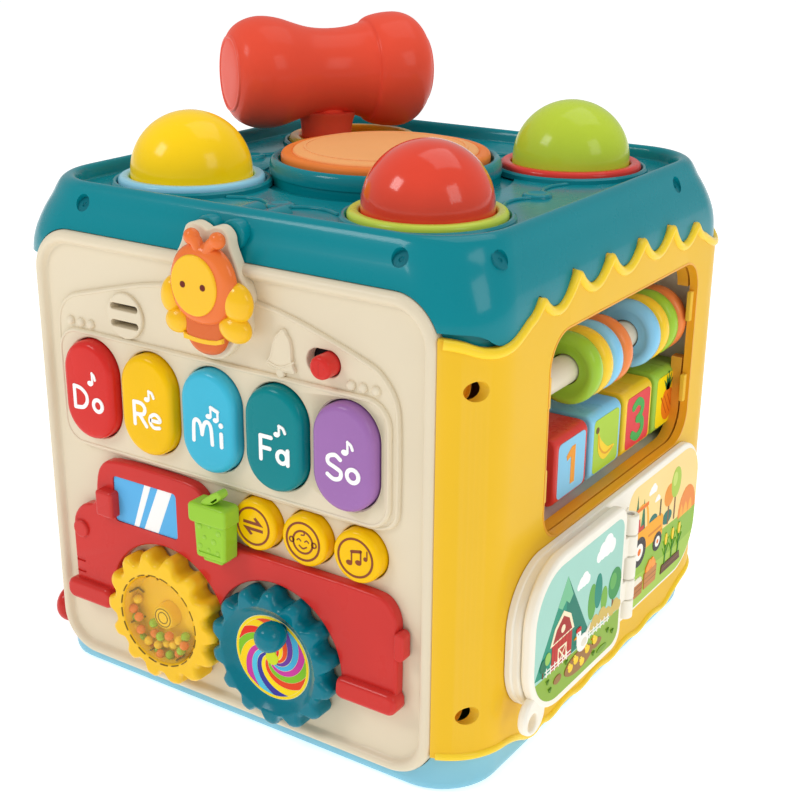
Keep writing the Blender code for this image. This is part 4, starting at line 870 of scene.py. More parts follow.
def bee():
    """A plain rounded bee: four lobes for wings behind a hooded body with a simple dot face."""
    wings = Piece("bee_wings_look")
    for x, z, rx, rz, tilt in ((-13.4, 161.8, 4.6, 6.6, 10), (-11.2, 153.4, 5.4, 4.6, -12), (13.6, 163.0, 5.8, 6.6, -12), (12.4, 154.2, 6.2, 4.7, 14)):
        lobe = ball((0, 0, 0), (rx, 4.0, rz), 40, 22)
        moved(lobe, Matrix.Translation(Vector((x, -104.4, z)) * MM) @ Matrix.Rotation(math.radians(tilt), 4, "Y"))
        wings.add(lobe, BEEYE)
    wings.done("shell", "bee_wings", slot="bright_yellow", angle=45)

    figure = Piece("bee_body_look")
    hood = chaikin(ccw([(-12.6, 171.0), (-9.8, 177.2), (-4.4, 180.8), (1.8, 181.4), (8.0, 179.8), (12.6, 175.2), (14.4, 169.0), (13.6, 162.2), (10.4, 157.0), (5.4, 154.2), (-0.6, 153.6), (-6.4, 154.8), (-10.8, 158.6), (-13.0, 164.6)]), 2)
    tail = chaikin(ccw([(-8.4, 164.0), (9.2, 164.0), (9.6, 153.0), (8.8, 148.0), (5.6, 144.2), (1.0, 143.0), (-3.8, 143.8), (-7.4, 147.2), (-8.8, 152.6)]), 2)
    darker = plastic("bee_amber_plastic", (216, 104, 44), 0.26, 0.35)
    figure.add(pull([(tail, -103.8)] + [(grow(tail, -i), -106.6 + d) for i, d in quarter(2.6, 8)], "y"), darker)
    figure.add(pull([(hood, -104.8)] + [(grow(hood, -i), -108.6 + d) for i, d in quarter(3.6, 10)], "y"), BEEOR)
    for side, x0, x1 in ((-1, 0.4, -2.8), (1, 3.6, 7.8)):
        figure.add(tube([(x0, -106.4, 178.4), (x0 * 0.6 + x1 * 0.4, -106.4, 181.2), (x1, -106.4, 182.8)], [2.0, 2.1, 2.4], 16), BEEOR)
        figure.add(ball((x1, -106.4, 182.8), (2.9, 2.5, 2.8)), BEEOR)
    dark = ink("dark_brown", (108, 40, 30))
    face = circle(9.5, 56, -0.8, 167.4, ry=10.2)
    figure.add(slab(face, -107.4, -109.35, "y", 0.7, 4), BEEYE)
    for sx in (-1, 1):
        figure.add(slab(circle(1.1, 24, -0.8 + sx * 4.2, 167.4, ry=1.1), -109.2, -109.5, "y", 0.1, 2), dark)
    stripe = [(-8.4, 147.6), (-8.6, 151.0)] + [(x, 150.6 - 1.0 * (1 - (x / 8.6) ** 2)) for x in (-6, -3, 0, 3, 6)] + [(9.2, 151.4), (8.8, 148.4)] + [(x, 148.0 - 1.0 * (1 - (x / 8.6) ** 2)) for x in (6, 3, 0, -3, -6)]
    figure.add(slab(ccw(grow(ccw(stripe), -0.5)), -105.4, -106.9, "y", 0.25, 2), BEEYE)
    return figure.done("shell", "bee_body", slot="orange", angle=45)


# ------------------------------------------------------------------ wheels
def lobed(tip, root, lobes, per=12, turn=0.0):
    out = []
    for k in range(lobes * per):
        a = 2 * math.pi * k / (lobes * per) + turn
        r = (tip + root) / 2 + (tip - root) / 2 * math.tanh(1.8 * math.cos(lobes * a - lobes * turn)) / math.tanh(1.8)
        out.append((r * math.cos(a), r * math.sin(a)))
    return out


def wheels():
    pitch = math.pi / 14
    for index, (name, x, mat) in enumerate((("rattle_wheel", WHEEL_X[0], GEARY), ("crank_wheel", WHEEL_X[1], GEART))):
        turn = pitch * index

        def line(dt, dr):
            return [(x + a, WHEEL_Z + b) for a, b in lobed(26.2 - dt, 22.6 - dr, 14, 12, turn)]

        levels = [(line(0.9, 0.7), -98.3), (line(0.25, 0.2), -98.7), (line(0, 0), -99.5), (line(0, 0), -104.6), (line(0.15, 0.1), -105.5),
                  (line(0.6, 0.45), -106.3), (line(1.3, 0.95), -107.0), (line(2.2, 1.6), -107.45), (line(3.2, 2.3), -107.6)]
        wheel = pull(levels, "y")
        if index == 0:
            tool = turned([(0, 100.4), (15.9, 100.4), (16.5, 100.9), (16.9, 102.0), (17.2, 106.6), (17.6, 107.3), (18.4, 107.9), (18.4, 112), (0, 112)], "y", (x, 0, WHEEL_Z), 80)
        else:
            tool = turned([(0, 104.2), (15.6, 104.2), (16.8, 104.5), (18.4, 105.6), (19.8, 106.9), (20.9, 107.8), (20.9, 112), (0, 112)], "y", (x, 0, WHEEL_Z), 80)
        wheel = carve(wheel, [tool, cyl(2.8, -90, -102.6, "y", x, WHEEL_Z, 32)])
        piece = Piece(name + "_look")
        piece.add(wheel, mat)
        if index == 0:
            piece.add(turned([(0, 99.6), (5.2, 99.6), (5.0, 101.0), (4.7, 104.2), (4.2, 104.9), (0, 104.9)], "y", (x, 0, WHEEL_Z), 48), GEARF)
            piece.add(turned([(5.2, 100.2), (15.9, 100.2), (15.9, 100.55), (5.2, 100.6)], "y", (x, 0, WHEEL_Z), 64), GEARF)
            fins = ink("gear_line", (120, 92, 30))
            for k in range(8):
                a = math.radians(22 + 45 * k)
                piece.add(sausage([(x + 13.6 * math.cos(a), -101.2, WHEEL_Z + 13.6 * math.sin(a)), (x + 16.2 * math.cos(a), -101.2, WHEEL_Z + 16.2 * math.sin(a))], 0.35, 8, 3), fins)
                piece.add(sausage([(x + 16.3 * math.cos(a), -101.4, WHEEL_Z + 16.3 * math.sin(a)), (x + 16.5 * math.cos(a), -105.6, WHEEL_Z + 16.5 * math.sin(a))], 0.35, 8, 3), fins)
            for r in (2.2, 3.6):
                piece.add(ring_line(r, 0.35, -104.92, x, WHEEL_Z), fins)
        else:
            swirl(piece, x)
        piece.done(name, name, angle=40)
    x = WHEEL_X[0]
    lens = Piece("rattle_lens_look")
    lens.add(turned([(0, 107.4), (16.6, 106.6), (16.95, 106.9), (16.95, 107.2), (16.2, 107.6), (12, 108.1), (6, 108.5), (0, 108.6)], "y", (x, 0, WHEEL_Z), 80), CLEAR)
    lens.done("rattle_wheel", "rattle_lens", angle=45)
    rim = Piece("rattle_rim_line")
    for k in range(20):
        a0, a1 = math.radians(18 * k), math.radians(18 * k + 11)
        pts = [(x + 17.9 * math.cos(a0 + (a1 - a0) * t / 3), WHEEL_Z + 17.9 * math.sin(a0 + (a1 - a0) * t / 3)) for t in range(4)]
        rim.add(stroke(pts, 0.4, -107.6, "y", 0.12, 1), ink("gear_line", (120, 92, 30)))
    rim.done("rattle_wheel")
    balls = Piece("rattle_beads_look")
    mats = {"Y": BYELL, "O": plastic("bead_small_orange", (244, 128, 60), 0.22, 0.4), "G": plastic("bead_small_green", (150, 206, 60), 0.22, 0.4)}
    beads = [(-40.8, 39.6, 'Y'), (-42.6, 35.4, 'O'), (-39.3, 33.3, 'O'), (-42.2, 31.6, 'G'), (-41.9, 27.7, 'Y'), (-38.6, 28.2, 'O'), (-33.5, 31.8, 'G'), (-38.9, 24.3, 'G'), (-35.0, 24.6, 'Y'), (-35.4, 21.2, 'O'), (-31.0, 23.9, 'Y'), (-24.6, 29.9, 'O'), (-27.2, 25.4, 'Y'), (-23.2, 26.4, 'Y'), (-19.0, 25.6, 'G'), (-21.6, 22.8, 'O'), (-25.4, 21.4, 'G'), (-29.4, 20.9, 'O'), (-17.9, 31.0, 'G'), (-32.4, 28.2, 'O'), (-28.9, 28.4, 'G'), (-32.2, 20.6, 'G'), (-20.4, 29.0, 'Y'), (-17.4, 28.2, 'O')]
    for k, (px, pz, key) in enumerate(beads):
        balls.add(ball((px, -103.4 - 0.8 * (k % 3 - 1), pz), 1.75, 20, 12), mats[key])
    balls.done("rattle_wheel", "rattle_beads", angle=60)
    knob = Piece("crank_knob_look")
    kx, kz = WHEEL_X[1] + 5.0, WHEEL_Z + 13.0
    knob.add(turned(soft([(0, 104.5), (2.4, 104.5), (2.4, 105.8), (2.9, 106.6), (4.6, 107.8), (5.3, 110.4), (5.2, 112.8), (4.2, 115.2), (2.3, 116.5), (0, 116.6)], 2), "y", (kx, 0, kz), 48), GEART)
    knob.done("crank_knob", "crank_knob", angle=60)


def swirl(piece, x):
    """A printed whirl: curved coloured arms that run out from a lime centre."""
    cx, cz = x, WHEEL_Z
    y = -104.2
    pale = ink("whirl_cream", (255, 246, 190))
    piece.add(slab(circle(16.0, 80, cx, cz), y + 0.4, y - 0.2, "y", 0.12, 2), pale)
    piece.add(ring_line(15.3, 0.9, y - 0.2, cx, cz), ink("whirl_yellow", (255, 222, 30)))
    colours = [(232, 50, 30), (130, 196, 40), (255, 214, 20), (204, 60, 160), (84, 196, 226), (60, 60, 160), (255, 222, 20), (234, 70, 30), (130, 196, 40), (206, 60, 160),
               (70, 180, 220), (110, 60, 160), (240, 80, 30), (255, 214, 20)]
    count = len(colours)
    wide = 2 * math.pi / count
    for k, rgb in enumerate(colours):
        a0 = wide * k
        left, right = [], []
        for t in range(25):
            f = t / 24
            r = 1.6 + (14.7 - 1.6) * f
            a = a0 + 2.5 * f ** 0.75
            gap = min(0.18, 0.16 / r)
            left.append((cx + r * math.cos(a + gap), cz + r * math.sin(a + gap)))
            right.append((cx + r * math.cos(a + wide - gap), cz + r * math.sin(a + wide - gap)))
        end = a0 + 2.5
        arc = [(cx + 14.7 * math.cos(end + wide * q / 4), cz + 14.7 * math.sin(end + wide * q / 4)) for q in range(1, 4)]
        piece.add(flat(left + arc + right[::-1], y - 0.2, "y", 0.1), ink("whirl_%d" % k, rgb))
    piece.add(slab(circle(2.7, 32, cx, cz), y, y - 0.42, "y"), ink("whirl_centre", (206, 222, 40)))


# ------------------------------------------------------------------ walls
def shell_outline(half, corner, x0, n=16):
    centre = half - corner
    points = []
    first = math.degrees(math.asin(min(1.0, (x0 - centre) / corner)))
    for k in range(n + 1):
        a = math.radians(-90 + first + (90 - first) * k / n)
        points.append((centre + corner * math.cos(a), -centre + corner * math.sin(a)))
    points += [(x, -y) for x, y in reversed(points)]
    return points


def open_dense(points, step):
    out = [points[0]]
    for a, b in zip(points, points[1:]):
        parts = max(1, int(math.dist(a, b) / step))
        out += [(a[0] + (b[0] - a[0]) * i / parts, a[1] + (b[1] - a[1]) * i / parts) for i in range(1, parts + 1)]
    return out


PEAKS = [(-61.0, 169.2), (-37.0, 172.8), (-12.5, 172.8), (12.8, 172.8), (38.0, 172.8), (61.0, 169.2)]


def scallops(knots, depth=7.6):
    """Pointed crests with round dips between them; a long dip leads round each corner."""
    outside = wave(knots)

    def height(y):
        if abs(y) >= 61.0:
            f = min(1.0, (abs(y) - 61.0) / 8.0)
            z = 169.2 - 1.1 * (abs(y) - 61.0)
            return z * (1 - f) + outside(y) * f
        for (y0, z0), (y1, z1) in zip(PEAKS, PEAKS[1:]):
            if y0 <= y <= y1:
                t = (y - y0) / (y1 - y0)
                return z0 + (z1 - z0) * t - depth * (1 - abs(2 * t - 1) ** 1.9)
        return 165.0

    return height


def wave(knots):
    """The scalloped line as a smooth height over y, with crisp valleys kept soft."""
    line = chaikin(knots, 2, closed=False)

    def height(y):
        for (y0, z0), (y1, z1) in zip(line, line[1:]):
            if y0 <= y <= y1:
                return z0 + (z1 - z0) * (y - y0) / max(1e-9, y1 - y0)
        return line[0][1] if y < line[0][0] else line[-1][1]

    return height


TOP_WAVE, LOW_WAVE = scallops(TOP_KNOTS), wave(LOW_KNOTS)


def side_wall(inner, outer, sign):
    """A side wall that goes round both corners, with its wavy edges, as one skin of quads."""
    out = open_dense(shell_outline(outer, CORNER + outer - HALF, 84.9), 1.2)
    inn = []
    for k, (x, y) in enumerate(out):
        a = out[max(0, k - 1)]
        b = out[min(len(out) - 1, k + 1)]
        t = Vector((b[0] - a[0], b[1] - a[1])).normalized()
        inn.append((x - t.y * (outer - inner), y + t.x * (outer - inner)))
    bm = bmesh.new()
    rows = []
    steps = 5
    bead = 1.3
    for (ox, oy), (ix, iy) in zip(out, inn):
        top, low = TOP_WAVE(oy), LOW_WAVE(oy)
        column = []
        for k in range(steps + 1):
            a = math.pi / 2 * k / steps
            column.append((1 - math.cos(a), top - bead * (1 - math.sin(a))))
        column = [(f * bead / (outer - inner), z) for f, z in column]
        lower = [(f, low + (top - z)) for f, z in column]
        ring = [(1.0, top), (1.0, low)] + [(f, z) for f, z in reversed(lower)] + [(f, z) for f, z in column]
        row = []
        for f, z in ring:
            px, py = ox + (ix - ox) * f, oy + (iy - oy) * f
            row.append(bm.verts.new(Vector((sign * px, py, z)) * MM))
        rows.append(row)
    m = len(rows[0])
    for r0, r1 in zip(rows, rows[1:]):
        for k in range(m):
            bm.faces.new((r0[k], r0[(k + 1) % m], r1[(k + 1) % m], r1[k]))
    bm.faces.new(rows[0])
    bm.faces.new(rows[-1][::-1])
    bmesh.ops.recalc_face_normals(bm, faces=bm.faces)
    return bm, out


def squeezed(bm):
    """The left side stands back a little more than the right one."""
    for v in bm.verts:
        if v.co.x < -0.080:
            v.co.x = -0.080 + (v.co.x + 0.080) * 0.75
    return bm


def edge_beads(out, sign, push=0.0):
    """Rounded beads that follow the wavy edges a little inside them."""
    parts = []
    for height, inset, radius in ((TOP_WAVE, -1.5, 1.7), (LOW_WAVE, 1.4, 1.5)):
        pts, ups = [], []
        for k, (x, y) in enumerate(out):
            a, b = out[max(0, k - 1)], out[min(len(out) - 1, k + 1)]
            t = Vector((b[0] - a[0], b[1] - a[1])).normalized()
            pts.append((sign * (x - t.y * 0.55 + push), y + t.x * 0.55, height(y) + inset))
            ups.append((sign * t.y, -t.x, 0))
        pts, ups = pts[1:-1], ups[1:-1]
        parts.append(tube(pts, radius, 12, ups=ups))
    return joined(*parts)


def walls():
    wall, out = side_wall(97.0, 100.0, 1)
    y0, y1, z0, z1 = WIN
    cy, cz, hy, hz = (y0 + y1) / 2, (z0 + z1) / 2, (y1 - y0) / 2, (z1 - z0) / 2
    cutters = [mouth(rounded(hy, hz, 12, cy, cz, 14), 100.0, 90, "x", 0.7)]
    for z in (145.8, 32.6):
        well = cyl(3.3, 80, 130, "x", -91.3, z, 32)
        cutters.append(well)
    wall = carve(wall, cutters)
    piece = Piece("right_wall_look")
    piece.add(wall, YELLOW)
    piece.add(edge_beads(out, 1), TRIM)
    # raised frame round the opening and the deep reveal of the window
    inner_line = rounded(hy, hz, 12, cy, cz, 14)
    reveal = carve(pull([(grow(inner_line, 0.6), 100.15), (grow(inner_line, 0.6), 97.2)], "x"),
                   [pull([(grow(inner_line, 0.05), 101.0), (grow(inner_line, -0.1), 99.6), (grow(inner_line, -1.0), 95.0)], "x")])
    piece.add(reveal, SILL_AND_WELL_SHADE)
    for y, z_low, z_high in ((-53.6, 128.7, 139.7), (-53.6, 95.3, 107.3), (65.6, 129.3, 141.2), (65.6, 96.3, 107.5)):
        inward = 2.6 if y < 0 else -2.6
        piece.add(box(97.2, 99.2, min(y, y + inward), max(y, y + inward), z_low, z_high, 0.5, 3), YELLOW)
    # orange plugs at the foot of the yellow wells: painted shade, a darker tone for the shadowed well floors
    for z in (145.8, 32.6):
        piece.add(turned([(0, 88.2), (3.6, 88.2), (3.6, 90.6), (3.2, 90.6), (3.2, 89.4), (1.1, 89.4), (0.8, 89.1), (0, 89.1)], "x", (0, -91.3, z), 40), SILL_AND_WELL_SHADE)
    piece.done("shell", "right_wall", slot="yellow", angle=42)

    wall, out = side_wall(97.0, 98.8, -1)
    piece = Piece("left_wall_look")
    piece.add(squeezed(wall), RED)
    piece.add(squeezed(edge_beads(out, -1, -0.4)), TRUCK)
    piece.add(ball((-94.6, -84.0, 14.0), (5.6, 9.0, 8.0), 32, 20), TRUCK)
    for z0 in (60, 90, 120):
        pts = [(-94.4, y, z0 + 10 + 3.0 * math.sin(y / 9.0)) for y in range(-60, 61, 3)]
        piece.add(tube(pts, 0.9, 10), RED)
    piece.done("shell", "left_wall", slot="scarlet", angle=42)

    def ring(dx, r, y):
        return (rounded(PANEL_HALF - dx, HALF_H - dx, r, 0, MID, 12), y)

    back = pull([ring(4.6, 11.6, 94.5), ring(4.6, 11.6, 89.0), ring(0, PANEL_R, 89.0), ring(0, PANEL_R, 97.4), ring(0.4, 15.7, 98.9), ring(1.2, 15, 99.7),
                 ring(2.2, 14, 100.0), ring(3.3, 12.9, 99.6), ring(4.2, 12, 98.4), ring(5.0, 11.2, 97.5)], "y")
    ribs = [slab(rounded(58 - 14 * k, 58 - 14 * k, 12, 0, MID, 8), 95, 98.1 + 0.35 * k, "y", 0.5, 3) for k in range(3)]
    back = carve(back, ribs, "UNION")
    back = carve(back, [turned([(0, -92), (3.0, -92), (3.0, -99), (3.6, -99.5), (3.6, -104), (0, -104)], "y", (x, 0, z), 32) for x in (-68, 68) for z in (24, 156)])
    piece = Piece("back_wall_look")
    piece.add(back, CREAM)
    for x in (-68, 68):
        for z in (24, 156):
            piece.add(turned([(0, -93.2), (1.4, -93.2), (1.6, -93.6), (3.6, -93.6), (3.6, -92.4), (0, -92.4)], "y", (x, 0, z), 32), SHADE)
    piece.done("shell", "back_wall", slot="cream", angle=42)


# ------------------------------------------------------------------ base
def base():
    def ring(half, r, z):
        return (rounded(half, half, r, n=16), z)

    levels = [ring(93.6, 20, 0.0), ring(95.0, 20.9, 0.35), ring(96.0, 21.5, 1.2), ring(96.7, 22.2, 2.6), ring(97.0, 22.5, 4.4), ring(96.8, 22.5, 18.0),
              ring(93.8, 20, 18.0), ring(93.8, 20, 4.0)]
    tray = pull(levels)
    tray = carve(tray, [box(-34, 34, 23, 61, 2.5, 23), box(33.5, 46, 36, 48, 2.8, 9)], "UNION")
    cut = [box(-31, 31, 26, 58, -1, 20), box(-38.3, 46.3, 22.7, 61.3, -1, 2.6), cyl(1.4, -1, 7.5, "z", 40, 42, 24)]
    for side, y0, y1 in (("f", -88.6, -120), ("b", 88.6, 120)):
        cut.append(slab(rounded(PANEL_HALF + 0.3, HALF_H + 0.3, PANEL_R + 0.3, 0, MID, 10), y0, y1, "y"))
    for x, y in ((-70, -70), (70, -70), (70, 74), (-70, 74)):
        cut.append(mouth(circle(4.2, 32, x, y), 0.0, 2.6, "z", 0.5))
    for k in range(-3, 4):
        cut.append(slab(rounded(0.7, 16, 0.69, 14.0 * k, -30, 6), -1, 0.6))
    tray = carve(tray, cut)
    piece = Piece("base_tray_look")
    piece.add(squeezed(tray), BLUE)
    piece.done("shell", "base_tray", slot="light_blue", angle=42)
    door = carve(slab(rounded(42, 19, 2.0, 4, 42, 6), 2.3, 0.2, "z", 0.5, 3), [cyl(3.2, -1, 4, "z", 40, 42, 32)] + [slab(rounded(0.5, 12, 0.45, x, 42, 4), -1, 0.5) for x in (-30, -26, -22, -18)])
    piece = Piece("battery_door_look")
    piece.add(door, BLUE)
    piece.done("shell", "battery_door", slot="light_blue", angle=42)


# ------------------------------------------------------------------ top
def top():
    def ring(half, r, z):
        return (rounded(half, half, r, n=16), z)

    rows = [(99.4, 23.4, 157.6), (99.2, 23.5, 163.0), (98.9, 23.6, 167.0), (98.2, 23.9, 171.0), (97.0, 24.2, 175.0), (95.5, 24.4, 179.0), (93.6, 24.6, 183.0),
            (92.5, 24.7, 186.0), (91.3, 24.8, 188.6), (89.6, 24.6, 190.0), (87.9, 24.0, 190.0), (86.8, 23.0, 188.6), (86.3, 22.5, 186.4), (86.0, 22.2, 185.0), (84.6, 21.2, 185.0)]
    for _ in range(2):
        rows = [rows[0]] + [tuple(a[i] * w + b[i] * (1 - w) for i in range(3)) for a, b in zip(rows, rows[1:]) for w in (0.75, 0.25)] + [rows[-1]]
    cap = pull([ring(84.0, 20, 181.4), ring(90.0, 22, 176.0), ring(93.2, 19, 168.0), ring(93.6, 17.6, 157.6)] + [ring(*row) for row in rows])
    cut = []
    for sign in (1, -1):
        # the side walls lap over the edge of the cap
        body, _ = side_wall(HALF - 3.4, 112.0, sign)
        bmesh.ops.translate(body, verts=body.verts, vec=(0, 0, 0.0003))
        cut.append(body)
    for side, y0, y1 in (("front", -88.6, -120), ("back", 88.6, 120)):
        cut.append(slab(rounded(PANEL_HALF + 0.3, HALF_H + 0.3, PANEL_R + 0.3, 0, MID, 14), y0, y1, "y"))
    cap = carve(cap, cut)
    adds = [turned([(39.6, 183.5), (43.6, 183.5), (43.3, 190.0), (42.9, 191.6), (42.2, 192.6), (41.3, 193.0), (40.4, 192.7), (39.8, 191.8)], steps=120),
            turned([(43.0, 184.0), (48.0, 184.0), (47.8, 186.3), (47.2, 187.3), (46.2, 187.7), (44.6, 187.6), (43.0, 187.6)], steps=120)]
    for x in (-5.2, 5.8):
        adds.append(turned([(0, 70.0), (5.0, 70.0), (5.0, 96.2), (4.6, 96.8), (0, 97.0)], "y", (x, 0, 182.4), 40))
    cap = carve(cap, adds, "UNION")
    a = A
    cut = []
    for x, y, r in ((-a, -a, 22.7), (a, -a, 22.7), (a, a, 22.7), (-a, a, 24.7), (0, 0, 8.3)):
        cut.append(cyl(r, 170, 187 if r > 9 else 192, "z", x, y, 72))
    for x, y in ((-a, -a), (a, -a), (a, a), (-a, a)):
        cut.append(turned([(0, 185.15), (27.1, 185.15), (27.1, 200), (0, 200)], "z", (x, y, 0), 72))
    for x, y in ((-64, -90), (68, -90), (90, -76), (90, 54), (64, 90), (-64, 90), (-90, -64), (-90, 64)):
        outward = Vector((x if abs(x) > 80 else 0, y if abs(y) > 80 else 0, 0)).normalized()
        spot = Vector((x, y, 185.0)) + outward * 5.2
        tool = turned([(0, -4.0), (3.0, -4.0), (3.0, 9), (0, 9)], steps=40)
        cut.append(moved(tool, Matrix.Translation(spot * MM) @ (outward + Vector((0, 0, 0.8))).to_track_quat("Z", "Y").to_matrix().to_4x4()))
    cap = carve(cap, cut)
    piece = Piece("top_cap_look")
    piece.add(cap, TEAL)
    # raised rounded beads round the ring seats, bosses and ribbons between them
    for x, y in ((-a, -a), (a, -a), (a, a), (-a, a)):
        piece.add(turned([(27.0, 184.6), (29.4, 184.6), (29.2, 186.3), (28.4, 187.0), (27.6, 186.9), (27.05, 186.2)], "z", (x, y, 0), 84), TEAL)
    for x, y, along in ((0, -64, "x"), (0, 64, "x"), (-64, 0, "y"), (64, 0, "y")):
        piece.add(turned([(0, 184.6), (5.4, 184.6), (5.2, 185.6), (4.6, 186.2), (3.6, 186.3), (2.8, 185.8), (0, 185.7)], "z", (x, y, 0), 40), TEAL)
        for s in (-1, 1):
            if along == "x":
                line = [(s * 4.6, y, 186.0), (s * 10, y + (1 if y < 0 else -1) * 3.0, 186.0), (s * 17, y + (1 if y < 0 else -1) * 3.2, 186.0), (s * 23.5, y + (1 if y < 0 else -1) * 0.5, 186.0)]
            else:
                line = [(x, s * 4.6, 186.0), (x + (1 if x < 0 else -1) * 3.0, s * 10, 186.0), (x + (1 if x < 0 else -1) * 3.2, s * 17, 186.0), (x + (1 if x < 0 else -1) * 0.5, s * 23.5, 186.0)]
            piece.add(sausage([(u, v, w - 0.9) for u, v, w in line], 0.9, 12, 6), TEAL)
    # plugs at the foot of the wells in a darker teal: painted shade in the recesses
    for x, y in ((-64, -90), (68, -90), (90, -76), (90, 54), (64, 90), (-64, 90), (-90, -64), (-90, 64)):
        outward = Vector((x if abs(x) > 80 else 0, y if abs(y) > 80 else 0, 0)).normalized()
        spot = Vector((x, y, 185.0)) + outward * 5.2
        plug = turned([(0, -4.2), (3.4, -4.2), (3.4, -3.4), (1.0, -3.4), (0.7, -3.8), (0, -3.8)], steps=32)
        piece.add(moved(plug, Matrix.Translation(spot * MM) @ (outward + Vector((0, 0, 0.8))).to_track_quat("Z", "Y").to_matrix().to_4x4()), TEAL_WELL_SHADE)
    piece.done("shell", "top_cap", slot="teal", angle=40)

    for name, x, y, mat in (("ring_blue", -a, -a, RINGB), ("ring_lime", a, -a, RINGL), ("ring_red", a, a, RINGR)):
        piece = Piece(name + "_look")
        profile = [(22.6, 185.3), (26.7, 185.3), (26.7, 186.6)] + [(25.0 + 1.7 * math.cos(t), 187.0 + 1.7 * math.sin(t)) for t in [math.radians(q) for q in range(0, 100, 12)]] + [(23.6, 188.7), (22.9, 188.3), (22.6, 187.6)]
        piece.add(turned(profile, centre=(x, y, 0), steps=96), mat)
        piece.done("shell", name, angle=50)
    for name, x, y, mat in (("dome_yellow", -a, -a, DOMEY), ("dome_red", a, a, None), ("dome_green", a, a, DOMEG)):
        if name == "dome_red":
            x, y, mat = a, -a, DOMER
        piece = Piece(name + "_look")
        inner, outer = [], []
        for k in range(0, 19):
            t = math.radians(90 * k / 18)
            outer.append((22.2 * math.cos(t), 189.5 + 21.8 * math.sin(t)))
            inner.append((20.2 * math.cos(t), 189.5 + 19.6 * math.sin(t)))
        outer[-1], inner[-1] = (0, outer[-1][1]), (0, inner[-1][1])
        profile = inner[::-1] + [(20.2, 175.4), (24.4, 175.4), (24.4, 177.0), (22.2, 177.0), (22.2, 187.0)] + outer
        piece.add(turned(profile, centre=(x, y, 0), steps=96), mat)
        piece.done(name, name, angle=50)

    pad = Piece("drum_pad_look")
    lower = [(0, 170.0), (7.8, 170.0), (7.8, 188.0), (39.0, 188.0), (39.0, 192.0)] + [(37.2 + 1.8 * math.cos(t), 193.2 + 1.8 * math.sin(t)) for t in [math.radians(q) for q in range(0, 91, 15)]] + [(35.6, 195.1), (35.0, 194.7), (34.6, 194.5), (0, 194.5)]
    pad.add(turned(lower, steps=120), PADEDGE)
    surface = [(0, 194.0), (34.6, 194.0), (34.6, 194.9), (34.1, 195.5), (33.0, 195.8), (26.0, 196.6), (14.0, 197.05), (0, 197.2)]
    pad.add(turned(soft(surface, 1), steps=120), PADTOP)
    pad.add(turned([(29.6, 195.9), (30.6, 195.9), (30.5, 196.45), (30.1, 196.6), (29.7, 196.5)], steps=96), PADTOP)
    pad.done("drum_pad", "drum_pad", slot="peach", angle=50)

    cup = Piece("hammer_socket_look")
    profile = [(0, 141.0), (24.4, 141.0), (24.4, 185.3), (26.7, 185.3), (26.7, 186.8)] + [(25.0 + 1.7 * math.cos(t), 187.0 + 1.7 * math.sin(t)) for t in [math.radians(q) for q in range(0, 100, 12)]]
    profile += [(23.4, 188.7), (22.6, 188.2), (22.1, 187.3), (21.9, 186.0), (21.9, 143.6), (0, 143.6)]
    cup.add(turned(profile, centre=(-a, a, 0), steps=96), CUP)
    cup.done("shell", "hammer_socket", slot="bright_yellow", angle=45)


# ------------------------------------------------------------------ hammer
def hammer():
    az, lean = math.radians(55.2), math.radians(1.0)
    along = Vector((math.cos(az) * math.cos(lean), math.sin(az) * math.cos(lean), -math.sin(lean)))
    up = Vector((math.cos(az) * math.sin(lean), math.sin(az) * math.sin(lean), math.cos(lean)))
    side = up.cross(along)
    foot = Vector((-60.4, 44.0, 146.0))

    def place(bm, offset):
        matrix = Matrix((along, side, up)).transposed().to_4x4()
        matrix.translation = (foot + up * offset) * MM
        return moved(bm, matrix)

    left = [(0, -42.0), (11.0, -42.0), (14.6, -41.4), (18.0, -39.6), (20.6, -36.0), (22.2, -31.0), (22.3, -26.0), (21.4, -20.6), (19.6, -15.2), (17.9, -9.6), (17.1, -4.0), (17.0, 2.0)]
    right = [(17.4, 7.0), (18.2, 11.6), (19.2, 14.6), (19.6, 16.4), (21.0, 16.9), (22.2, 19.6), (23.2, 25.0), (23.4, 31.0), (21.8, 35.8), (18.6, 39.4), (14.8, 41.4), (11.0, 42.0), (0, 42.0)]
    profile = soft(left + right, 2)
    profile[0], profile[-1] = (0, -42.0), (0, 42.0)
    piece = Piece("hammer_head_look")
    piece.add(place(turned(profile, "x", steps=96), 68.4), HAMMER)
    for s in (-1, 1):
        rim = [(13.4, s * 41.2), (14.0, s * 41.9), (14.9, s * 41.75), (15.2, s * 41.0), (14.4, s * 40.4)]
        piece.add(place(turned(rim, "x", steps=72), 68.4), HAMMER)
    piece.done("hammer", "hammer_head", slot="scarlet", angle=60)
    grip = Piece("hammer_handle_look")
    profile = [(0, 0), (6.0, 0), (7.2, 0.6), (8.0, 2.0), (8.3, 8), (8.6, 20), (9.4, 30), (10.3, 40.0), (10.6, 46.0), (11.2, 49.2), (12.6, 52.4), (8.6, 52.6), (8.6, 73.4), (0, 73.4)]
    grip.add(place(turned(soft(profile[:11], 1) + profile[11:], steps=64), 0), HAMMER)
    grip.done("hammer", "hammer_handle", angle=50)


# ------------------------------------------------------------------ window set
def bead_shape(y, t=7.9):
    h = t / 2
    profile = [(5.8, -y - h + 1.4), (8.4, -y - h + 1.2), (9.4, -y - h + 0.5), (10.4, -y - h), (11.6, -y - h + 0.35), (12.6, -y - h + 1.2), (13.15, -y - h + 2.4), (13.3, -y),
               (13.15, -y + h - 2.4), (12.6, -y + h - 1.2), (11.6, -y + h - 0.35), (10.4, -y + h), (9.4, -y + h - 0.5), (8.4, -y + h - 1.2), (5.8, -y + h - 1.4)]
    return turned(profile, "y", (ROD_X, 0, ROD_Z), 64)


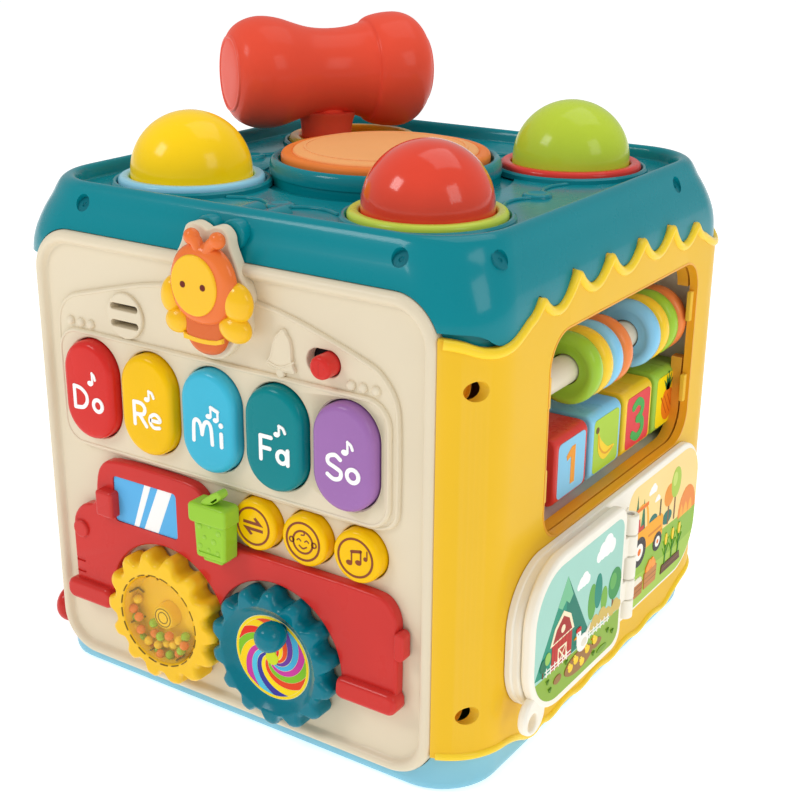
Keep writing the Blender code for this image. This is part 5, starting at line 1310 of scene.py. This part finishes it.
def icons(kind, x, y, z, size, face):
    """Small generic pictures for the blocks, in a plane (u along y, v along z)."""
    out = []
    s = size
    if kind == "one":
        out.append((flat([(y - 0.4 * s, z - 4.2 * s), (y + 1.6 * s, z - 4.2 * s), (y + 1.6 * s, z + 4.6 * s), (y - 0.2 * s, z + 4.6 * s), (y - 2.6 * s, z + 3.0 * s), (y - 2.2 * s, z + 1.8 * s), (y - 0.4 * s, z + 2.4 * s)], face, "x", 0.1), (246, 160, 30)))
    elif kind == "three":
        out.append((stroke([(y - 2.6 * s, z + 3.6 * s), (y - 0.2 * s, z + 4.6 * s), (y + 2.2 * s, z + 3.2 * s), (y + 1.6 * s, z + 1.0 * s), (y - 0.4 * s, z + 0.2 * s)], 2.0 * s, face, "x", 0.1), (60, 170, 70)))
        out.append((stroke([(y - 0.4 * s, z + 0.2 * s), (y + 2.2 * s, z - 0.8 * s), (y + 2.4 * s, z - 3.2 * s), (y - 0.2 * s, z - 4.4 * s), (y - 2.8 * s, z - 3.2 * s)], 2.0 * s, face, "x", 0.13), (60, 170, 70)))
    elif kind == "banana":
        pts = [(y - 4.6 * s, z + 3.6 * s), (y - 4.0 * s, z - 0.4 * s), (y - 0.6 * s, z - 3.0 * s), (y + 4.4 * s, z - 2.2 * s)]
        line = curve(pts, 8)
        low = [(p.x + 0.2 * s, p.y - 1.3 * s * math.sin(math.pi * k / (len(line) - 1))) for k, p in enumerate(line)]
        high = [(p.x + 1.6 * s * math.sin(math.pi * k / (len(line) - 1)), p.y + 1.7 * s * math.sin(math.pi * k / (len(line) - 1)) + 0.15 * s) for k, p in enumerate(line)]
        out.append((flat(low + high[::-1][1:-1], face, "x", 0.1), (255, 216, 30)))
        out.append((stroke([(p.x + 0.6 * s, p.y + 0.2 * s) for p in line[3:-3]], 0.5 * s, face + 0.1, "x", 0.05, 1), (232, 168, 20)))
        out.append((flat(circle(0.8 * s, 14, y - 4.7 * s, z + 4.1 * s), face, "x", 0.13), (110, 80, 30)))
    else:
        out.append((flat(circle(3.4 * s, 32, y, z - 1.2 * s, ry=4.2 * s), face, "x", 0.1), (240, 130, 30)))
        for k in (-2, 0, 2):
            out.append((stroke([(y + (k - 2.2) * s * 0.9, z + 1.2 * s), (y + (k + 1.6) * s * 0.9, z - 3.6 * s)], 0.35 * s, face + 0.1, "x", 0.04, 1), (200, 92, 20)))
        for dx, top in ((-2.6, 5.6), (-1.2, 6.6), (0.2, 7.2), (1.6, 6.4), (2.8, 5.4)):
            out.append((flat([(y - 0.9 * s, z + 2.4 * s), (y + 0.9 * s, z + 2.4 * s), (y + dx * s, z + top * s)], face, "x", 0.12), (20, 112, 60)))
    return out


def window_set():
    tray = carve(box(54.0, 96.5, -61.0, 77.0, 78.0, 157.0, 0.8, 2), [box(56.4, 110, -58.6, 75.4, 80.4, 154.6, 2.0, 4)])
    # the inner collar between the tray and the wall, seen as a wide sill
    y0, y1, z0, z1 = WIN
    cy, cz, hy, hz = (y0 + y1) / 2, (z0 + z1) / 2, (y1 - y0) / 2, (z1 - z0) / 2
    piece = Piece("abacus_tray_look")
    piece.add(tray, TRAYIN)
    sill = carve(slab(rounded(hy + 4.0, hz + 3.0, 13, cy, cz, 12), 92.0, 96.4, "x"),
                 [pull([(rounded(hy - 0.6, hz - 0.6, 11.5, cy, cz, 12), 97.0), (rounded(hy - 0.2, hz - 0.6, 11.5, cy, cz, 12), 91.0)], "x"), box(60, 110, -62, 78, 113.5, 142.5)])
    piece.add(sill, SILL_AND_WELL_SHADE)
    piece.done("shell", "abacus_tray", slot="cream_light", angle=40)
    rod = Piece("abacus_rod_look")
    rod.add(turned([(0, 58.3), (5.3, 58.3), (5.3, -74.3), (0, -74.3)], "y", (ROD_X, 0, ROD_Z), 48), ROD)
    for y in (-57.5, 73.8):
        rod.add(turned([(5.0, -y - 0.8), (7.2, -y - 0.8), (7.2, -y + 0.8), (5.0, -y + 0.8)], "y", (ROD_X, 0, ROD_Z), 48), ROD)
    rod.done("shell", "abacus_rod", angle=50)
    for k, (y, mat) in enumerate(zip(BEAD_Y, (BGREEN, BYELL, BBLUE, BORAN, BBLUE, BYELL, BGREEN, BORAN))):
        name = "abacus_bead_%d" % (k + 1)
        piece = Piece(name + "_look")
        piece.add(bead_shape(y), mat)
        piece.done(name, name, angle=60)
    rims = (BLKR, BLKB, BLKY, BLKG)
    grounds = ((140, 208, 242), (176, 212, 56), (228, 56, 62), (255, 224, 24))
    kinds = ("one", "banana", "three", "pineapple")
    for k, (y, mat) in enumerate(zip(BLOCK_Y, rims)):
        name = "picture_block_%d" % (k + 1)
        piece = Piece(name + "_look")
        body = rounded(12.8, 12.8, 3.6, AXLE_X, AXLE_Z, 8)
        levels = [(grow(body, -i), y - 12.5 + d) for i, d in reversed(quarter(1.3, 5))]
        levels += [(grow(body, -i), y + 12.5 - d) for i, d in quarter(1.3, 5)]
        block = pull(levels, "y")
        cut = [slab(circle(3.0, 32, AXLE_X, AXLE_Z), y - 20, y + 20, "y")]
        # split line of the two halves, across the top and bottom
        cut.append(box(AXLE_X - 14, AXLE_X + 14, y - 0.12, y + 0.12, AXLE_Z + 12.45, AXLE_Z + 14))
        cut.append(box(AXLE_X - 14, AXLE_X + 14, y - 0.12, y + 0.12, AXLE_Z - 14, AXLE_Z - 12.45))
        piece.add(carve(block, cut), mat)
        for side in (0, 2):
            spin = Matrix.Translation(Vector((AXLE_X, 0, AXLE_Z)) * MM) @ Matrix.Rotation(math.radians(90 * side), 4, "Y") @ Matrix.Translation(Vector((-AXLE_X, 0, -AXLE_Z)) * MM)
            which = (k + side) % 4
            ground = grounds[k] if side % 2 == 0 else grounds[which]
            face = AXLE_X + 12.8
            piece.add(moved(slab(rounded(10.3, 10.3, 2.0, y, AXLE_Z, 6), face - 0.4, face + 0.05, "x"), spin), ink("block_ground_%d" % grounds.index(ground), ground))
            for bm, rgb in icons(kinds[which], face, y, AXLE_Z - 0.3, 1.6, face + 0.05):
                piece.add(moved(bm, spin), ink("icon_%02x%02x%02x" % rgb, rgb))
        piece.done(name, name, angle=40)


# ------------------------------------------------------------------ book
def leaf(y0, y1, z0, z1, r_far, r_near, n=14):
    points = []
    for cy, cz, r, start in ((y1 - r_near, z1 - r_near, r_near, 0), (y0 + r_far, z1 - r_far, r_far, 90), (y0 + r_far, z0 + r_far, r_far, 180), (y1 - r_near, z0 + r_near, r_near, 270)):
        for k in range(n + 1):
            a = math.radians(start + 90.0 * k / n)
            points.append((cy + r * math.cos(a), cz + r * math.sin(a)))
    return points


class Picture:
    """A printed picture on a leaf: flat shapes stacked in order, clipped to an outline."""

    def __init__(self, piece, outline, face, limit=None):
        self.piece, self.outline, self.face, self.level = piece, ccw([tuple(p) for p in outline]), face, 0.0

    def put(self, points, rgb, clip=False):
        self.level += 0.004
        points = [(p[0], p[1]) for p in points]
        if clip:
            points = clip_to(points, self.outline)
        if len(points) < 3:
            return
        name = "%02x%02x%02x" % rgb
        self.piece.add(slab(ccw(points), self.face - 0.05, self.face + 0.03 + self.level, "x"), ink("picture_" + name, rgb))

    def oval(self, y, z, rx, rz, rgb, n=28, clip=False):
        self.put(circle(rx, n, y, z, ry=rz), rgb, clip)

    def line(self, points, width, rgb):
        self.level += 0.004
        name = "%02x%02x%02x" % rgb
        self.piece.add(stroke(points, width, self.face, "x", 0.03 + self.level, 4 if len(points) > 2 else 1), ink("picture_" + name, rgb))

    def cloud(self, y, z, s, rgb=(252, 252, 250)):
        for dy, dz, r in ((-3.6, 0.9, 1.5), (-1.6, 1.8, 2.3), (1.0, 2.3, 2.9), (3.4, 1.3, 1.9)):
            self.put(circle(r * s, 22, y + dy * s, z + dz * s), rgb)
        self.put(rounded(5.0 * s, 0.9 * s, 0.85 * s, y, z + 0.6 * s, 4), rgb)

    def bush(self, y, z, s, rgb):
        for dy, dz, r in ((-2.2, 1.2, 1.9), (0.0, 2.2, 2.5), (2.3, 1.2, 1.9)):
            self.put(circle(r * s, 22, y + dy * s, z + dz * s), rgb)


def clip_to(points, outline):
    """Cuts a polygon to a convex outline."""
    out = points
    for a, b in zip(outline, outline[1:] + outline[:1]):
        if math.dist(a, b) < 1e-6:
            continue
        ex, ey = b[0] - a[0], b[1] - a[1]
        new = []
        for p, q in zip(out, out[1:] + out[:1]):
            sp = ex * (p[1] - a[1]) - ey * (p[0] - a[0])
            sq = ex * (q[1] - a[1]) - ey * (q[0] - a[0])
            if sp >= 0:
                new.append(p)
            if (sp > 0 > sq) or (sp < 0 < sq):
                t = sp / (sp - sq)
                new.append((p[0] + (q[0] - p[0]) * t, p[1] + (q[1] - p[1]) * t))
        out = new
        if len(out) < 3:
            return []
    clean = [p for k, p in enumerate(out) if math.dist(p, out[k - 1]) > 1e-4]
    return clean


def page_picture(piece):
    outline = leaf(-75.5, -10.5, 28.3, 78.4, 18, 5.5)
    pic = Picture(piece, outline, 110.3)
    pic.put(outline, (166, 216, 202))
    pic.put([(-80, 20), (-5, 20), (-5, 41.5), (-40, 40.2), (-80, 40.6)], (142, 180, 60), True)
    pic.put([(-54, 72.7), (-75.2, 42), (-64, 40.5), (-54, 40.5)], (26, 148, 120), True)
    pic.put([(-54, 72.7), (-54, 40.5), (-34, 41.0)], (0, 122, 102), True)
    pic.put([(-60.2, 63.4), (-54, 72.7), (-49.4, 64.0), (-52, 61.6), (-54.4, 63.6), (-57.2, 61.4)], (120, 196, 150))
    pic.cloud(-25.0, 68.6, 1.45)
    pic.cloud(-41.8, 63.8, 0.95)
    pic.oval(-34.0, 54.0, 3.3, 7.0, (96, 168, 70))
    pic.oval(-29.4, 56.4, 3.0, 6.8, (20, 140, 120))
    pic.oval(-24.2, 51.0, 2.6, 5.0, (120, 180, 64))
    pic.put([(-17.6, 41.0), (-16.0, 41.0), (-16.2, 50.0), (-17.4, 50.0)], (128, 84, 44))
    pic.oval(-15.8, 53.6, 5.2, 6.2, (56, 150, 78))
    pic.oval(-17.2, 55.0, 2.6, 3.2, (96, 176, 86))
    for y, z, s in ((-31, 42.5, 1.1), (-25.4, 42.6, 1.2), (-20.6, 42.0, 0.9), (-14.4, 41.8, 1.1)):
        pic.bush(y, z, s, (214, 186, 96))
    pic.put([(-63.5, 40.5), (-49, 40.5), (-49, 51.5), (-63.5, 51.5)], (196, 44, 36))
    pic.put([(-65, 50.2), (-62, 56.2), (-56, 60.6), (-50.5, 57.2), (-47.5, 50.5), (-49.2, 50.3), (-51.6, 55.6), (-56, 58.6), (-60.8, 55), (-63.3, 50.2)][::-1] if False else [(-65, 50.2), (-62, 56.2), (-56, 60.6), (-50.5, 57.2), (-47.5, 50.5)], (250, 236, 200))
    pic.put([(-63.2, 50.8), (-60.8, 55.2), (-56, 58.7), (-51.6, 56.0), (-49.2, 51.0)], (168, 30, 28))
    for k in range(5):
        pic.line([(-61.6 + 2.6 * k, 41.2), (-61.6 + 2.6 * k, 50.8)], 0.28, (158, 28, 26))
    pic.put([(-59.2, 40.8), (-52.8, 40.8), (-52.8, 47.4), (-59.2, 47.4)], (250, 236, 200))
    pic.put([(-58.5, 41.3), (-53.5, 41.3), (-53.5, 46.7), (-58.5, 46.7)], (188, 48, 36))
    pic.line([(-58.4, 41.4), (-53.6, 46.6)], 0.6, (250, 236, 200))
    pic.line([(-58.4, 46.6), (-53.6, 41.4)], 0.6, (250, 236, 200))
    pic.oval(-56, 53.8, 1.5, 1.5, (250, 236, 200))
    pic.put([(-69.9, 41.0), (-69.1, 41.0), (-69.1, 44.0), (-69.9, 44.0)], (120, 84, 44))
    pic.oval(-69.5, 45.6, 2.3, 2.5, (26, 116, 80))
    pic.oval(-66.4, 47.0, 2.0, 2.3, (150, 200, 90))
    for z in (41.2, 42.5):
        pic.line([(-68, z), (-49.5, z - 0.1)], 0.42, (252, 250, 240))
        pic.line([(-36.0, z), (-19.5, z - 0.2)], 0.42, (252, 250, 240))
    for y in [-67 + 2.9 * k for k in range(6)] + [-35 + 2.9 * k for k in range(6)]:
        pic.line([(y, 40.4), (y, 43.4)], 0.5, (252, 250, 240))
    pic.oval(-42.5, 35.0, 10.8, 4.0, (158, 112, 60))
    pic.oval(-58.5, 35.4, 2.8, 1.6, (158, 112, 60))
    pic.oval(-28.6, 35.4, 3.8, 1.7, (158, 112, 60))
    pic.oval(-24.0, 31.0, 4.0, 1.1, (118, 160, 46), clip=True)
    # hen and chicks of no character
    pic.oval(-40.2, 41.2, 4.3, 3.3, (252, 250, 244))
    pic.put([(-45.2, 46.2), (-44.9, 41.6), (-41.8, 40.0), (-41.4, 44.2)], (252, 250, 244))
    pic.put([(-36.8, 42.0), (-34.6, 46.4), (-37.2, 44.8), (-38.4, 44.2)], (246, 242, 230))
    pic.oval(-43.8, 45.6, 1.8, 1.9, (252, 250, 244))
    for dy in (-0.9, 0.2, 1.2):
        pic.oval(-44.0 + dy, 47.6, 0.7, 0.9, (214, 44, 38))
    pic.put([(-45.4, 45.9), (-47.4, 45.1), (-45.3, 44.6)], (240, 160, 30))
    pic.oval(-44.2, 46.0, 0.32, 0.36, (40, 30, 24))
    pic.oval(-39.4, 41.0, 2.2, 1.6, (232, 226, 210))
    for y, z in ((-49, 34.9), (-40, 33.3), (-36.2, 36.4), (-30.2, 37.2), (-45, 36.2)):
        pic.oval(y, z, 1.75, 1.45, (255, 212, 40))
        pic.oval(y - 1.1, z + 1.5, 1.05, 1.05, (255, 220, 70))
        pic.put([(y - 2.1, z + 1.7), (y - 3.0, z + 1.3), (y - 2.0, z + 1.0)], (240, 140, 30))
        pic.oval(y - 1.3, z + 1.8, 0.2, 0.2, (40, 30, 24))
    for y, z in ((-66, 37), (-52.5, 38.2), (-20, 35.6), (-64, 33), (-31, 31.4), (-16, 33.4)):
        for s in (-1, 0, 1):
            pic.line([(y, z), (y + s * 0.9, z + 1.5)], 0.3, (96, 142, 36))


def panel_picture(piece):
    outline = []
    for cy, cz, r, start in ((76.7 - 15, 77.3 - 15, 15, 0), (9.5 + 7, 77.3 - 7, 7, 90), (9.5 + 5, 25 + 5, 5, 180), (76.7 - 18, 25 + 18, 18, 270)):
        for k in range(13):
            a = math.radians(start + 90.0 * k / 12)
            outline.append((cy + r * math.cos(a), cz + r * math.sin(a)))
    pic = Picture(piece, outline, 102.8)
    pic.put(outline, (253, 222, 146))
    pic.put([(0, 10), (90, 10), (90, 48.2), (45, 49.6), (0, 50.2)], (146, 190, 60), True)
    pic.put([(0, 10), (90, 10), (90, 38.0), (55, 36.0), (0, 40.0)], (168, 204, 76), True)
    pic.cloud(31.6, 69.6, 0.72)
    pic.cloud(36.6, 64.6, 0.46)
    for y, z, w in ((17.8, 73.3, 3.4), (23.8, 70.0, 3.0)):
        for s, rgb in ((0.0, (34, 128, 84)),):
            pic.put([(y - w, 52), (y + w, 52), (y, z)], rgb, True)
            pic.put([(y, 52), (y + w, 52), (y, z)], (14, 100, 72), True)
    pic.oval(33.6, 57.2, 3.8, 2.6, (14, 112, 100))
    pic.oval(47.4, 53.4, 4.6, 2.9, (14, 112, 100))
    pic.put([(47.7, 50), (48.9, 50), (48.9, 60), (47.7, 60)], (128, 84, 44))
    pic.oval(48.3, 62.6, 4.7, 4.7, (240, 150, 40))
    pic.put([(53.9, 50), (55.1, 50), (55.1, 62), (53.9, 62)], (128, 84, 44))
    pic.oval(54.5, 66.0, 4.7, 6.5, (176, 206, 70))
    pic.oval(53.2, 67.8, 2.1, 3.0, (206, 224, 110))
    pic.put([(59, 47.8)] + [(67.5 + 8.8 * math.cos(math.radians(q)), 48.4 + 11.6 * math.sin(math.radians(q))) for q in range(0, 181, 15)], (240, 140, 50), True)
    for y, s in ((62.0, 0.7), (66.2, 0.9), (71.0, 0.8)):
        pic.put([(y - 2.6 * s, 48.0), (y + 2.6 * s, 48.0), (y + 1.6 * s, 52.0 * 1 - 0.6), (y, 53.6), (y - 1.6 * s, 51.4)], (250, 178, 60), True)
    # tractor
    pic.put([(17.6, 47.6), (43.4, 47.6), (43.4, 55.8), (41.6, 57.4), (29.6, 57.4), (28.6, 57.0), (17.6, 57.0)], (250, 172, 8))
    pic.put([(29.8, 51.4), (42.0, 51.4), (42.0, 52.5), (29.8, 52.5)], (222, 132, 0))
    pic.line([(18.5, 56.8), (18.5, 66.4), (26.4, 66.4), (29.0, 57.0)], 1.1, (250, 172, 8))
    pic.put([(17.2, 66.0), (28.0, 66.0), (28.0, 67.5), (17.2, 67.5)], (236, 120, 20))
    pic.put([(19.4, 57.2), (24.6, 57.2), (24.6, 59.0), (21.4, 59.0), (20.8, 62.6), (19.4, 62.6)], (206, 52, 40))
    pic.line([(40.0, 57.2), (40.0, 63.5)], 1.0, (90, 74, 60))
    pic.line([(38.0, 50.0), (43.0, 50.0)], 0.6, (222, 132, 0))
    for y, z, r in ((21.8, 48.3, 6.2), (39.0, 46.2, 4.0)):
        pic.oval(y, z, r, r, (48, 44, 46), 44)
        for k in range(12):
            a = 2 * math.pi * k / 12
            pic.line([(y + (r - 1.3) * math.cos(a), z + (r - 1.3) * math.sin(a)), (y + (r - 0.2) * math.cos(a), z + (r - 0.2) * math.sin(a))], 0.35, (90, 86, 88))
        pic.oval(y, z, r * 0.56, r * 0.56, (250, 248, 240), 32)
        pic.oval(y, z, r * 0.24, r * 0.24, (236, 120, 20), 24)
    # corn, crates and rows
    for y in (48.0, 54.5, 61.0):
        pic.line([(y, 32.0), (y + 0.3, 40.0), (y, 46.0)], 0.8, (72, 140, 40))
        for s in (-1, 1):
            pic.put([(y, 36.0), (y + s * 3.0, 40.6), (y + s * 1.1, 37.8)], (86, 158, 50))
            pic.put([(y, 39.0), (y + s * 2.6, 43.6), (y + s * 0.9, 40.6)], (104, 176, 60))
        pic.oval(y + 0.1, 43.6, 1.1, 2.6, (255, 214, 50))
    pic.put([(44.6, 29.2), (63.6, 29.2), (62.6, 32.8), (45.4, 32.8)], (96, 58, 34), True)
    pic.line([(45.6, 31.2), (62.6, 31.2)], 0.4, (132, 84, 50))
    pic.oval(21.8, 34.6, 4.2, 2.4, (250, 246, 234))
    for dy in (-2.4, 0, 2.4):
        pic.oval(21.8 + dy, 35.4, 1.5, 1.5, (238, 230, 210))
    pic.put([(17.0, 29.0), (26.6, 29.0), (27.2, 34.4), (16.6, 34.4)], (186, 118, 56))
    pic.oval(34.0, 37.0, 4.8, 3.3, (242, 138, 40))
    for dy, dz in ((-2.6, 0.2), (0.0, 1.3), (2.6, 0.2), (-1.2, 2.2), (1.4, 2.3)):
        pic.oval(34.0 + dy, 37.2 + dz, 1.5, 1.4, (250, 160, 56))
    pic.put([(28.6, 29.4), (39.4, 29.4), (40.0, 36.2), (28.2, 36.2)], (200, 130, 62))
    for z in (31.2, 33.2):
        pic.line([(17.2, z), (26.6, z)], 0.3, (142, 84, 38))
        pic.line([(28.8, z + 0.6), (39.4, z + 0.6)], 0.3, (150, 92, 42))


def book():
    plate = slab(leaf(-77.6, 77.0, 23.6, 80.2, 22, 18), 100.3, 102.8, "x", 0.8, 4)
    plate = carve(plate, [slab(leaf(-77.0, -6.0, 24.2, 79.8, 21.4, 6), 101.5, 105.5, "x", 1.1, 4)], "UNION")
    hx, hy = 107.2, 1.5
    pieces = []
    for z0, z1 in ((31.5, 39.1), (47.9, 57.1), (65.9, 73.5)):
        pieces.append(slab(circle(3.1, 40, hx, hy), z0, z1, "z", 0.5, 3, both=True))
        pieces.append(box(101.5, hx, hy - 1.6, hy + 1.6, z0, z1, 0.3, 2))
    plate = carve(plate, pieces, "UNION")
    cut = [cyl(1.45, 30, 75, "z", hx, hy, 24), cyl(3.6, 39.2, 47.8, "z", hx, hy, 32), cyl(3.6, 57.2, 65.8, "z", hx, hy, 32)]
    for z in (33.2, 52.4, 71.8):
        cut.append(slab(rounded(2.4, 0.7, 0.65, 6.8, z, 4), 102.3, 106, "x"))
    plate = carve(plate, cut)
    piece = Piece("book_plate_look")
    piece.add(plate, IVORY)
    panel_picture(piece)
    piece.done("shell", "book_plate", slot="cream_light", angle=40)

    page = slab(leaf(-77.6, -7.6, 25.0, 82.2, 22, 7), 105.9, 110.3, "x", 1.4, 5, both=True)
    adds = [slab(circle(7.2, 56, -72.0, 27.6), 106.4, 109.8, "x", 1.2, 5, both=True)]
    for z0, z1 in ((39.5, 47.5), (57.5, 65.5)):
        adds.append(box(106.0, 108.4, -10.0, hy, z0, z1, 0.4, 2))
        adds.append(slab(circle(3.1, 40, hx, hy), z0, z1, "z", 0.5, 3, both=True))
    page = carve(page, adds, "UNION")
    hole = carve(mouth(circle(3.2, 40, -73.6, 25.8), 109.8, 100, "x", 0.8), [])
    page = carve(page, [hole, cyl(1.45, 30, 75, "z", hx, hy, 24)])
    piece = Piece("book_page_look")
    piece.add(page, IVORY)
    page_picture(piece)
    # the back of the page carries a plain sun and hills
    back = []
    for points, rgb in ((leaf(-74.5, -11.0, 28.8, 78.4, 18, 5.5), (255, 226, 150)),):
        piece.add(slab(ccw(points), 106.1, 105.84, "x"), ink("picture_back_sky", rgb))
    piece.add(slab(ccw([(y, z) for y, z in clip_to([(-90, 10), (0, 10), (0, 44), (-20, 48), (-45, 42), (-90, 50)][::1], ccw(leaf(-74.5, -11.0, 28.8, 78.4, 18, 5.5)))]), 106.1, 105.82, "x"), ink("picture_back_grass", (150, 196, 80)))
    piece.add(slab(circle(7, 40, -40, 63), 106.1, 105.81, "x"), ink("picture_back_sun", (250, 170, 40)))
    piece.done("book_page", "book_page", angle=40)


# ------------------------------------------------------------------ inside
def inside():
    """Internal pieces keep the shape of the frame and get a finished surface."""
    steel = plastic("turned_steel", (170, 172, 176), 0.25, 0.0, vary=0.08, bump=0.12, grain=600, edge=0.1)
    steel.node_tree.nodes["Principled BSDF"].inputs["Metallic"].default_value = 1.0
    table = {
        "battery_door_screw": steel, "rattle_axle": steel, "crank_axle": steel, "book_hinge_pin": steel,
        "battery_cell_1": plastic("cell_sleeve", (52, 54, 60), 0.3, 0.3), "battery_cell_2": plastic("cell_sleeve", (52, 54, 60), 0.3, 0.3),
        "main_board": plastic("circuit_board", (26, 104, 58), 0.4, 0.2, vary=0.15), "speaker": DARK, "block_axle": ROD,
    }
    for name, mat in table.items():
        obj = NODE_OBJECTS[name]
        for slot in obj.material_slots:
            slot.material = mat


NODE_OBJECTS = {name: bpy.data.objects[name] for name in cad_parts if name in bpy.data.objects}

make_stage()
front_panel()
keys_and_buttons()
truck()
waste_bin()
bee()
wheels()
walls()
base()
top()
hammer()
window_set()
book()
inside()
